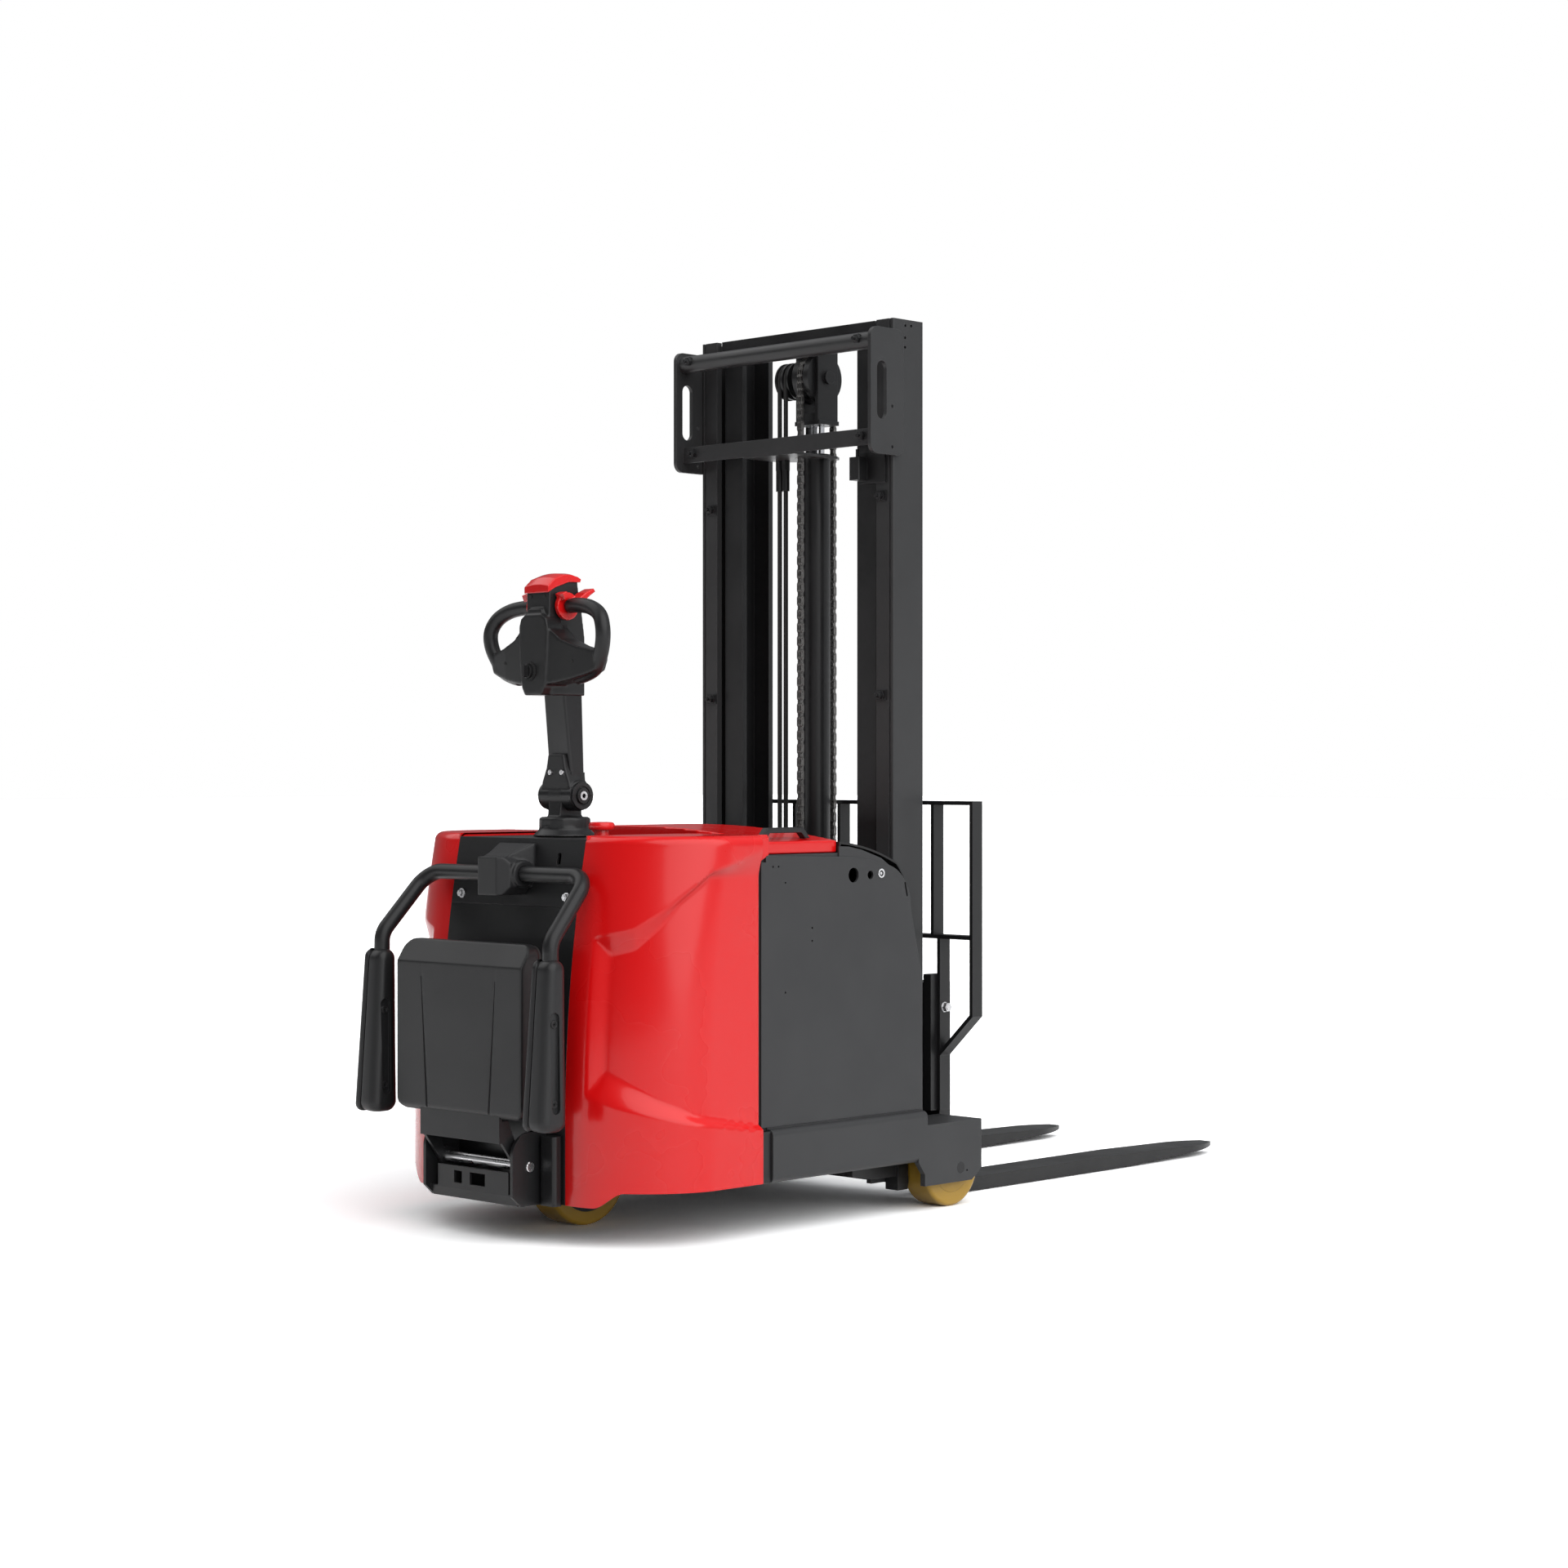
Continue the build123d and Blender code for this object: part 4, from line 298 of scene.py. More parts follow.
# Red body: glossy through-coloured plastic wings and battery lid with a clear, even shine.
def moulding(name, colour, other, roughness, coat, grain_size, grain_depth, edge):
    """Moulded plastic, glossy or grained."""
    finish, tree, shader, coords = finish_start(name, colour, roughness)
    tint(tree, shader, mottle(tree, coords, 0.5, 0.0, 1.0), colour, other)
    tree.links.new(
        mottle(tree, coords, 0.2, roughness - 0.03, roughness + 0.05), shader.inputs["Roughness"]
    )
    shader.inputs["Coat Weight"].default_value = coat
    shader.inputs["Coat Roughness"].default_value = 0.12
    grain(tree, shader, coords, grain_size, grain_depth, edge)
    return finish


red_gloss = moulding(
    "glossy red plastic",
    colour=(0.75, 0.004, 0.005),
    other=(0.756, 0.0042, 0.0052),
    roughness=0.28,
    coat=0.4,
    grain_size=0.0015,
    grain_depth=0.000004,
    edge=0.0012,
)
dress(red_gloss, "rear_cover_right", "rear_cover_left", "battery_lid")

# Black mouldings: cowl, deck, hip pads, platform shell and tiller parts in fine-grained
# plastic, and the red controls in a smoother one.
black_plastic = moulding(
    "grained black plastic",
    colour=(0.013, 0.013, 0.0135),
    other=(0.017, 0.017, 0.018),
    roughness=0.36,
    coat=0.0,
    grain_size=0.0008,
    grain_depth=0.00005,
    edge=0.002,
)
dress(
    black_plastic,
    "deck_shroud",
    "front_cowl",
    "lid_handle",
    "height_switch",
    "hose_sheave",
    "tiller_base",
    "tiller_head",
    "key_knob",
    "platform_shell",
    "arm_pad_right",
    "arm_pad_left",
    "battery",
)
control_red = moulding(
    "control red plastic",
    colour=(0.74, 0.006, 0.007),
    other=(0.78, 0.009, 0.010),
    roughness=0.28,
    coat=0.4,
    grain_size=0.03,
    grain_depth=0.00001,
    edge=0.0005,
)
dress(control_red, "stop_button", "belly_button", "throttle")

# Rubber: hoses and the platform's tread, matt and slightly dusty.
rubber = moulding(
    "black rubber",
    colour=(0.014, 0.014, 0.014),
    other=(0.022, 0.021, 0.021),
    roughness=0.62,
    coat=0.0,
    grain_size=0.002,
    grain_depth=0.0001,
    edge=0.001,
)
dress(rubber, "hoses_fixed", "hoses_running", "platform_tread")

# Wheels: cast polyurethane in mustard yellow, treads and hub faces alike.
wheel_tread = moulding(
    "mustard polyurethane",
    colour=(0.42, 0.245, 0.028),
    other=(0.47, 0.28, 0.038),
    roughness=0.35,
    coat=0.2,
    grain_size=0.01,
    grain_depth=0.0001,
    edge=0.003,
)
dress(wheel_tread, "load_tyre_right", "load_tyre_left", "drive_tyre")
dress(wheel_tread, "load_hub_right", "load_hub_left")


# Bright steel: plated pins, rollers and fittings, the ground lift rod and the oiled chain.
def bright_steel(name, colour, roughness, streak):
    """Machined or plated steel with fine turning marks."""
    finish, tree, shader, coords = finish_start(name, colour, roughness, 1.0)
    tree.links.new(
        mottle(tree, coords, streak, roughness * 0.8, roughness * 1.4), shader.inputs["Roughness"]
    )
    grain(tree, shader, coords, 0.0006, 0.00002, 0.0008)
    return finish


plated = bright_steel("plated steel", (0.62, 0.62, 0.63), 0.28, 0.02)
rod_chrome = bright_steel("ground rod", (0.74, 0.74, 0.76), 0.12, 0.2)
chain_steel = bright_steel("oiled chain steel", (0.16, 0.155, 0.15), 0.38, 0.01)
dress(plated, "mast_rollers", "carriage_rollers", "platform_pin", "lid_hinge")
dress(rod_chrome, "lift_rod")
dress(chain_steel, "lift_chain")

# Red wings: moulded skins that sweep round the rear corners, with a bevelled scoop in the
# flank, a raised skirt and a softly rounded top edge, a tab at the front of the top and a rim
# down inside the lid's opening.
REAR = -0.907
REAR_CURVE = 3.05
UPRIGHT_BELOW = 0.25
CORNER = 0.210
OPENING = 0.207
SIDE = 0.444
SEAM = -0.556
LIP_FRONT = -0.5235
WING_FOOT = 0.083
WING_TOP = 0.857
TOP_ROUND = 0.020
WALL = 0.004
SKIRT_RAISE = 0.033
SCOOP = 0.0145
ROWS = 150
ROUND_ROWS = 8
# Edges of the scoop as (metres forward of the opening, height), and where its bevels end.
SCOOP_TOP = ((0.059, 0.647), (0.145, 0.664), (0.207, 0.704), (0.298, 0.781), (0.44, 0.829))
SCOOP_TOP_IN = ((0.089, 0.606), (0.150, 0.620), (0.198, 0.665), (0.237, 0.715), (0.3, 0.772))
SCOOP_LOW = ((0.055, 0.313), (0.166, 0.284), (0.299, 0.257), (0.476, 0.231))
SCOOP_LOW_IN = ((0.101, 0.364), (0.166, 0.334), (0.211, 0.310), (0.299, 0.274), (0.476, 0.240))


def place(obj, name, finish, body, slot, *nodes):
    """Names a finished piece, gives it its finish and its body, and hides what it stands for."""
    obj.name = name
    obj.data.materials.clear()
    obj.data.materials.append(finish)
    if body:
        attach(obj, body)
    if nodes:
        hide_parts(*nodes)
    return obj


def from_mesh(shape, name):
    """Object at the origin for a bmesh, with its normals outward."""
    bmesh.ops.recalc_face_normals(shape, faces=shape.faces)
    mesh = bpy.data.meshes.new(name)
    shape.to_mesh(mesh)
    shape.free()
    obj = bpy.data.objects.new(name, mesh)
    bpy.context.scene.collection.objects.link(obj)
    return obj


def select_only(obj):
    """Makes obj the one selected and active object."""
    bpy.ops.object.select_all(action="DESELECT")
    obj.select_set(True)
    bpy.context.view_layer.objects.active = obj


def apply(obj, kind, **settings):
    """Adds a modifier with these settings and applies it."""
    select_only(obj)
    modifier = obj.modifiers.new(kind, kind)
    for key, value in settings.items():
        setattr(modifier, key, value)
    bpy.ops.object.modifier_apply(modifier=modifier.name)


def smooth(obj, angle):
    """Smooth shading, kept sharp over angle degrees."""
    select_only(obj)
    bpy.ops.object.shade_smooth_by_angle(angle=math.radians(angle))


def along_line(points, s):
    """Height of a line through (s, height) points at s."""
    for (s0, h0), (s1, h1) in zip(points, points[1:]):
        if s <= s1:
            return h0 + (h1 - h0) * max(0.0, (s - s0) / (s1 - s0))
    return points[-1][1]


def ease(share):
    """Smooth step from 0 to 1."""
    share = min(1.0, max(0.0, share))
    return share * share * (3 - 2 * share)


def rear_station(z):
    """Station of the rear body line at a height."""
    return REAR + REAR_CURVE - math.sqrt(REAR_CURVE**2 - max(0.0, z - UPRIGHT_BELOW) ** 2)


def wing_plan(z):
    """Points and outward normals of a wing's plan at a height, from the opening forward."""
    rear = rear_station(z)
    corner = ((0.225, rear), (0.325, rear), (SIDE, rear + 0.106), (SIDE, rear + CORNER))
    plan = [((OPENING + 0.006 * i, rear), (0.0, -1.0)) for i in range(3)]
    for i in range(61):
        t = i / 60
        u = 1 - t
        weights = (u**3, 3 * u * u * t, 3 * u * t * t, t**3)
        slopes = (-3 * u * u, 3 * u * u - 6 * u * t, 6 * u * t - 3 * t * t, 3 * t * t)
        point = [sum(w * p[k] for w, p in zip(weights, corner)) for k in (0, 1)]
        slope = [sum(w * p[k] for w, p in zip(slopes, corner)) for k in (0, 1)]
        size = math.hypot(*slope)
        plan.append((point, (slope[1] / size, -slope[0] / size)))
    start = rear + CORNER
    plan += [((SIDE, start + (SEAM - start) * i / 26), (1.0, 0.0)) for i in range(1, 27)]
    return plan


def scoop_depth(s, z):
    """How far the scoop lies below the skin, s metres forward of the opening."""
    top = along_line(SCOOP_TOP, s)
    top_in = along_line(SCOOP_TOP_IN, s)
    low = along_line(SCOOP_LOW, s)
    low_in = along_line(SCOOP_LOW_IN, s)
    share = min(
        (s - 0.055) / 0.040,
        (top - z) / max(0.010, top - top_in),
        (z - low) / max(0.010, low_in - low),
    )
    return SCOOP * (0.7 * min(1.0, max(0.0, share)) + 0.3 * ease(share))


for side, hand in (("right", 1), ("left", -1)):
    skin = bmesh.new()
    rows = []
    for step in range(ROWS + 1):
        row = []
        s = 0.0
        last = None
        for point, normal in wing_plan(WING_FOOT + step * 0.00503):
            s += math.dist(point, last) if last else 0.0
            last = point
            low = WING_FOOT + SKIRT_RAISE * ease((s - 0.075) / 0.070)
            z = low + (WING_TOP - TOP_ROUND - low) * step / ROWS
            depth = scoop_depth(s, z)
            row.append((point[0] - normal[0] * depth, point[1] - normal[1] * depth, z, normal))
        rows.append(row)
    for step in range(1, ROUND_ROWS + 1):
        turn = math.radians(90 * step / ROUND_ROWS)
        inset = TOP_ROUND * (1 - math.cos(turn))
        z = WING_TOP - TOP_ROUND + TOP_ROUND * math.sin(turn)
        rows.append([(x - n[0] * inset, y - n[1] * inset, z, n) for x, y, _, n in rows[ROWS]])
    grid = [[skin.verts.new((hand * x, MAST + y, z)) for x, y, z, _ in row] for row in rows]
    for lower, upper in zip(grid, grid[1:]):
        for a, b, c, d in zip(lower, lower[1:], upper[1:], upper):
            skin.faces.new((a, b, c, d))
    lip = [
        skin.verts.new((hand * x, MAST + y, WING_TOP))
        for x, y in ((0.424, -0.5535), (0.424, LIP_FRONT), (OPENING, LIP_FRONT))
    ]
    skin.faces.new(grid[-1] + lip)
    wing = from_mesh(skin, "wing")
    apply(wing, "SOLIDIFY", thickness=WALL, offset=-1.0)
    edging = bmesh.new()
    bmesh.ops.create_cube(edging, size=1.0)
    for vert in edging.verts:
        vert.co.x = hand * (0.4245 + 0.0055 * (1 if vert.co.x > 0 else -1))
        vert.co.y = MAST - 0.53825 + 0.01475 * (1 if vert.co.y > 0 else -1)
        top = vert.co.z > 0
        vert.co.z = 0.8535 if top else (0.8135 if vert.co.y > MAST - 0.54 else 0.7985)
    bmesh.ops.bevel(edging, geom=edging.edges[:], offset=0.002, segments=2, affect="EDGES")
    rim = [(OPENING, rear_station(0.85)), (OPENING, LIP_FRONT), (OPENING + WALL, LIP_FRONT)]
    rim.append((OPENING + WALL, rear_station(0.85)))
    ends = [[edging.verts.new((hand * x, MAST + y, z)) for x, y in rim] for z in (0.828, 0.8565)]
    edging.faces.new(ends[0])
    edging.faces.new(ends[1][::-1])
    for i in range(4):
        edging.faces.new((ends[0][i], ends[0][i - 1], ends[1][i - 1], ends[1][i]))
    edging = from_mesh(edging, "edging")
    select_only(wing)
    edging.select_set(True)
    bpy.ops.object.join()
    smooth(wing, 40)
    place(wing, f"wing_{side}", red_gloss, "chassis", "red_plastic", f"rear_cover_{side}")


# Softened mouldings: column base, platform shell, battery lid and its handle, with every edge
# rounded the way a mould leaves it, and two creases pressed into the shell's face.
def softened(node, pitch, rounds, finish, body, slot, name):
    """Copy of a CAD node with evenly rounded edges, which then stands for the node."""
    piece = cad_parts[node].copy()
    piece.data = piece.data.copy()
    piece.parent = None
    piece.matrix_world = Matrix.Identity(4)
    for key in list(piece.keys()):
        del piece[key]
    bpy.context.scene.collection.objects.link(piece)
    select_only(piece)
    bpy.ops.object.mode_set(mode="EDIT")
    bpy.ops.mesh.select_all(action="SELECT")
    bpy.ops.mesh.remove_doubles(threshold=0.00001)
    bpy.ops.object.mode_set(mode="OBJECT")
    bpy.ops.mesh.customdata_custom_splitnormals_clear()
    apply(piece, "REMESH", mode="VOXEL", voxel_size=pitch)
    apply(piece, "SMOOTH", factor=0.5, iterations=rounds)
    bpy.ops.object.shade_smooth()
    return place(piece, name, finish, body, slot, node)


def prism(shape, axis, start, end, points):
    """Closed prism along an axis, from its outline in the other two, in millimetres."""
    order = {"x": (2, 0, 1), "y": (0, 2, 1), "z": (0, 1, 2)}[axis]
    ends = []
    for station in (start, end):
        row = []
        for a, b in points:
            values = (a, b, station)
            spot = [values[i] / MM for i in order]
            row.append(shape.verts.new((spot[0], MAST + spot[1], spot[2])))
        ends.append(row)
    shape.faces.new(ends[0])
    shape.faces.new(ends[1][::-1])
    for i in range(len(points)):
        j = (i + 1) % len(points)
        shape.faces.new((ends[0][i], ends[1][i], ends[1][j], ends[0][j]))


def cut_with(obj, shape, operation="DIFFERENCE"):
    """Takes a shape out of obj, or keeps only what lies inside it."""
    cutter = from_mesh(shape, "cutter")
    apply(obj, "BOOLEAN", operation=operation, object=cutter, solver="EXACT")
    bpy.data.objects.remove(cutter)


softened("tiller_base", 0.0022, 4, black_plastic, "steering", "black_plastic", "soft_base")
shell = softened(
    "platform_shell", 0.0026, 4, black_plastic, "platform", "black_plastic", "soft_shell"
)
softened("battery_lid", 0.0030, 5, red_gloss, "lid", "red_plastic", "soft_lid")
softened("lid_handle", 0.0014, 4, black_plastic, "lid", "black_plastic", "soft_handle")
low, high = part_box("platform_shell")
face = (low[1] - MAST) * MM
base, tip = low[2] * MM + 3, high[2] * MM - 78
for hand in (-1, 1):
    crease = bmesh.new()
    wedge = ((98, base), (105, base), (122.5, tip), (121, tip))
    prism(crease, "y", face - 4, face + 2.4, [(hand * x, z) for x, z in wedge])
    cut_with(shell, crease)
smooth(shell, 32)


# Tiller head: a moulded body with a raised spine, swept hands and one closed grip a side,
# blended into each other; the shapes below are joined and then eased into one skin.
def disc(shape, axis, radius, start, end, middle, count=40):
    """Closed round bar along an axis, in millimetres."""
    turn = [math.tau * i / count for i in range(count)]
    points = [(middle[0] + radius * math.cos(t), middle[1] + radius * math.sin(t)) for t in turn]
    prism(shape, axis, start, end, points)


def pipe(shape, path, radius, count=20):
    """Round bar along a smooth path of (x, y, z) points, in millimetres."""
    spots = [Vector(p) for p in path]
    fine = []
    for i in range(len(spots) - 1):
        p = [spots[max(0, i - 1)], spots[i], spots[i + 1], spots[min(len(spots) - 1, i + 2)]]
        for k in range(6):
            t = k / 6
            bend = (2 * p[0] - 5 * p[1] + 4 * p[2] - p[3]) * t * t
            twist = (3 * p[1] - p[0] - 3 * p[2] + p[3]) * t**3
            fine.append(0.5 * (2 * p[1] + (p[2] - p[0]) * t + bend + twist))
    fine.append(spots[-1])
    side = Vector((0, 1, 0))
    rings = []
    for i, spot in enumerate(fine):
        ahead = (fine[min(i + 1, len(fine) - 1)] - fine[max(i - 1, 0)]).normalized()
        side = (side - ahead * side.dot(ahead)).normalized()
        up = ahead.cross(side)
        ring = []
        for k in range(count):
            t = math.tau * k / count
            p = spot + (side * math.cos(t) + up * math.sin(t)) * radius
            ring.append(shape.verts.new((p.x / MM, MAST + p.y / MM, p.z / MM)))
        rings.append(ring)
    for lower, upper in zip(rings, rings[1:]):
        for i in range(count):
            j = (i + 1) % count
            shape.faces.new((lower[i], lower[j], upper[j], upper[i]))
    shape.faces.new(rings[0][::-1])
    shape.faces.new(rings[-1])


def eased(shape, name, pitch, rounds):
    """One skin over all the overlapping shapes, with its edges eased."""
    obj = from_mesh(shape, name)
    apply(obj, "REMESH", mode="VOXEL", voxel_size=pitch)
    apply(obj, "SMOOTH", factor=0.5, iterations=rounds)
    select_only(obj)
    bpy.ops.object.shade_smooth()
    return obj


def ring_of(shape, axis, outer, inner, start, end, middle, count=40):
    """Closed flat ring along an axis, in millimetres."""
    turns = [math.tau * i / count for i in range(count)]
    edges = [
        [(middle[0] + radius * math.cos(t), middle[1] + radius * math.sin(t)) for t in turns]
        for radius in (outer, inner)
    ]
    for i in range(count):
        j = (i + 1) % count
        prism(shape, axis, start, end, [edges[0][i], edges[0][j], edges[1][j], edges[1][i]])


HORN = (-10, 1209)
hands = bmesh.new()
outline = ((20, 1345), (41, 1304), (75, 1278), (118, 1262), (160, 1252), (176, 1232), (166, 1208))
outline += ((140, 1199), (100, 1189), (60, 1182), (20, 1178))
prism(hands, "y", -813, -750, list(outline) + [(-x, z) for x, z in outline[::-1]])
hands = from_mesh(hands, "hands")
plan = ((-190, -782), (-110, -801), (-40, -812), (40, -812), (110, -801), (190, -782))
slab = bmesh.new()
prism(slab, "z", 1150, 1360, plan + ((190, -756), (40, -752), (-40, -752), (-190, -756)))
cut_with(hands, slab, "INTERSECT")
head = bmesh.new()
head.from_mesh(hands.data)
bpy.data.objects.remove(hands)
column = ((-802, 1382), (-786, 1394), (-747, 1407), (-719, 1407), (-717, 1390), (-706, 1338))
column += ((-698, 1285), (-698, 1157), (-792, 1157), (-803, 1330))
prism(head, "x", -37, 37, column)
spine = [(27, 1332), (40, 1323), (46, 1305), (46, 1285), (43, 1230), (37, 1174), (27, 1157)]
spine += [(-x, z) for x, z in spine[::-1]]
prism(head, "y", -817, -770, spine)
for hand in (-1, 1):
    grip = ((56, -760, 1350), (86, -762, 1351), (130, -767, 1345), (166, -773, 1328))
    grip += ((183, -779, 1300), (182, -778, 1268), (167, -773, 1235), (148, -770, 1212))
    grip += ((118, -770, 1200), (92, -771, 1195))
    pipe(head, [(hand * x, y, z) for x, y, z in grip], 16.5)
head = eased(head, "head", 0.0021, 10)
bore = bmesh.new()
disc(bore, "y", 15.3, -830, -803, HORN)
cut_with(head, bore)
trim = bmesh.new()
for radius, reach in ((21.0, -819.0), (19.0, -821.0)):
    ring_of(trim, "y", radius, 15.6, -812, reach, HORN)
for x, z in ((-22, 1372), (22, 1372), (-109, 1229), (109, 1229)):
    face = -803.4 if z > 1300 else -802.6
    disc(trim, "y", 3.4, face, face + 3, (x, z), 16)
for x in (-1, 1):
    bar = [(x * 28, 1296), (x * 26.6, 1296), (x * 26.6, 1246), (x * 28, 1246)]
    prism(trim, "y", -815.7, -813, bar)
for z in (1246, 1296):
    bar = [(-28, z - 0.7), (28, z - 0.7), (28, z + 0.7), (-28, z + 0.7)]
    prism(trim, "y", -815.7, -813, bar)
trim = from_mesh(trim, "head_trim")
place(head, "soft_head", black_plastic, "tiller", "black_plastic", "tiller_head")
place(trim, "head_trim", rubber, "tiller", "black_rubber")

# Belly cap: domed safety button whose skirt closes over the top of the head.
cap = bmesh.new()
dome = ((-807, 1378), (-786, 1390), (-747, 1403), (-713, 1404), (-711, 1413), (-721, 1419.5))
dome += ((-738, 1424), (-762, 1423), (-788, 1413.5), (-807, 1397))
prism(cap, "x", -39.6, 39.6, dome)
cap = eased(cap, "cap", 0.0012, 12)
skirt = ((-0.807, 1.380), (-0.786, 1.392), (-0.747, 1.405), (-0.713, 1.406))
for vert in cap.data.vertices:
    rise = (vert.co.z - along_line(skirt, vert.co.y - MAST)) / 0.016
    vert.co.z -= 0.0042 * min(1.0, max(0.0, rise)) * min(1.0, abs(vert.co.x) / 0.0385) ** 2.2
hollow = bmesh.new()
inside = ((-804, 1350), (-804, 1388.5), (-786, 1400.3), (-747, 1413.4))
inside += ((-715.5, 1413.2), (-715.5, 1350))
prism(hollow, "x", -37.9, 37.9, inside)
cut_with(cap, hollow)
place(cap, "belly_cap", control_red, "belly", "red_control", "belly_button")

# Butterfly throttle: a disc each side of the head with a thumb lobe ahead and one behind.
THROTTLE = (-760, 1350)
wings = bmesh.new()
for hand in (-1, 1):
    disc(wings, "x", 30, hand * 40.8, hand * 52.4, THROTTLE)
    front = ((-748, 1366), (-728, 1380), (-705, 1390), (-700, 1383), (-712, 1376), (-734, 1360))
    prism(wings, "x", hand * 42, hand * 74, front)
    back = ((-783, 1362), (-790, 1376), (-778, 1381), (-770, 1366))
    prism(wings, "x", hand * 42, hand * 68, back)
wings = eased(wings, "wings", 0.0013, 5)
place(wings, "butterfly", control_red, "throttle", "red_control", "throttle")

# Arm housing: faceted block on the deck, with a saddle that runs up to the deck's edge and a
# collar round each arm.
ARMS = (-891, 773)
block = bmesh.new()
front = ((-50, 746), (-50, 797), (-39, 810), (39, 810), (50, 797), (50, 746), (37, 728), (-37, 728))
prism(block, "y", -946, -868, front)
block = from_mesh(block, "block")
plan = bmesh.new()
outline = ((-52, -868), (-52, -922), (-30, -946), (30, -946), (52, -922), (52, -868))
prism(plan, "z", 720, 820, outline)
cut_with(block, plan, "INTERSECT")
ridge = bmesh.new()
flank = ((-938, 804), (-915, 815), (-864, 838), (-854, 838), (-858, 744), (-930, 744))
prism(ridge, "x", -58, 58, flank)
ridge = from_mesh(ridge, "ridge")
plan = bmesh.new()
outline = ((-36, -940), (36, -940), (40, -905), (57, -862), (57, -850))
outline += ((-57, -850), (-57, -862), (-40, -905))
prism(plan, "z", 730, 850, outline)
cut_with(ridge, plan, "INTERSECT")
housing = bmesh.new()
for part in (block, ridge):
    housing.from_mesh(part.data)
    bpy.data.objects.remove(part)
for hand in (-1, 1):
    disc(housing, "y", 7, -868, -858, (hand * 46, 828), 20)
for hand in (-1, 1):
    disc(housing, "x", 29, hand * 40, hand * 57.5, ARMS)
housing = eased(housing, "housing", 0.0020, 9)
sleeve = bmesh.new()
disc(sleeve, "x", 17.3, -59, -14, ARMS)
disc(sleeve, "x", 17.3, 14, 59, ARMS)
cut_with(housing, sleeve)
place(housing, "saddle", black_plastic, "chassis", "black_plastic", "arm_housing")

# Hip pads: two-part foam mouldings, a cushion and a thicker shell with a groove between them,
# and a long recess with two socket screws.
PAD_LOW, PAD_HIGH = 0.253, 0.606
PAD_MIDDLE = 0.277
SLOT_Y = MAST - 1.024
SLOT_HALF = 0.011


def corner_ring(x_ends, y_ends, radii, count=6):
    """Points round a rectangle whose corners have their own radii, from the low corner."""
    (x0, x1), (y0, y1) = x_ends, y_ends
    points = []
    for (x, y), radius, turn in zip(
        ((x0, y0), (x1, y0), (x1, y1), (x0, y1)), radii, (180, 270, 0, 90)
    ):
        cx = x + (radius if x == x0 else -radius)
        cy = y + (radius if y == y0 else -radius)
        for i in range(count + 1):
            angle = math.radians(turn + 90 * i / count)
            points.append((cx + radius * math.cos(angle), cy + radius * math.sin(angle)))
    return points


def tube_of(rings):
    """Closed skin through rings of points, with flat ends."""
    shape = bmesh.new()
    grid = [[shape.verts.new(point) for point in ring] for ring in rings]
    for lower, upper in zip(grid, grid[1:]):
        for i in range(len(lower)):
            j = (i + 1) % len(lower)
            shape.faces.new((lower[i], lower[j], upper[j], upper[i]))
    shape.faces.new(grid[0][::-1])
    shape.faces.new(grid[-1])
    return shape


def bar_into(shape, start, end, points):
    """Adds a closed prism between two X stations with these (y, z) corners, in metres."""
    ends = [[shape.verts.new((x, y, z)) for y, z in points] for x in (start, end)]
    shape.faces.new(ends[0])
    shape.faces.new(ends[1][::-1])
    for i in range(len(points)):
        j = (i + 1) % len(points)
        shape.faces.new((ends[0][i], ends[1][i], ends[1][j], ends[0][j]))


def pad_piece(middle, share, radii, end_round, sunk=0.0):
    """One part of a pad between two shares of its width, tapered and rounded at its ends."""
    lower, upper = [], []
    for angle in range(0, 91, 10):
        turn = math.radians(angle)
        rise, inset = end_round * (1 - math.cos(turn)), end_round * (1 - math.sin(turn))
        lower.append((PAD_LOW + rise, inset))
        upper.insert(0, (PAD_HIGH - rise, inset))
    middle_run = [(PAD_LOW + (PAD_HIGH - PAD_LOW) * i / 12, 0.0) for i in range(1, 12)]
    rings = []
    for z, inset in lower + middle_run + upper:
        rise = (z - PAD_LOW) / (PAD_HIGH - PAD_LOW)
        half = 0.0355 - 0.0065 * rise
        back = -1.061 + 0.024 * rise
        x0 = middle - half + 2 * half * share[0] + inset * 0.7
        x1 = middle - half + 2 * half * share[1] - inset * 0.7
        y0, y1 = MAST + back + sunk + inset, MAST - 0.988 - sunk - inset
        limit = min(x1 - x0, y1 - y0) / 2 - 0.0005
        ring = corner_ring((x0, x1), (y0, y1), [max(0.001, min(limit, r)) for r in radii])
        rings.append([(x, y, z) for x, y in ring])
    return tube_of(rings)


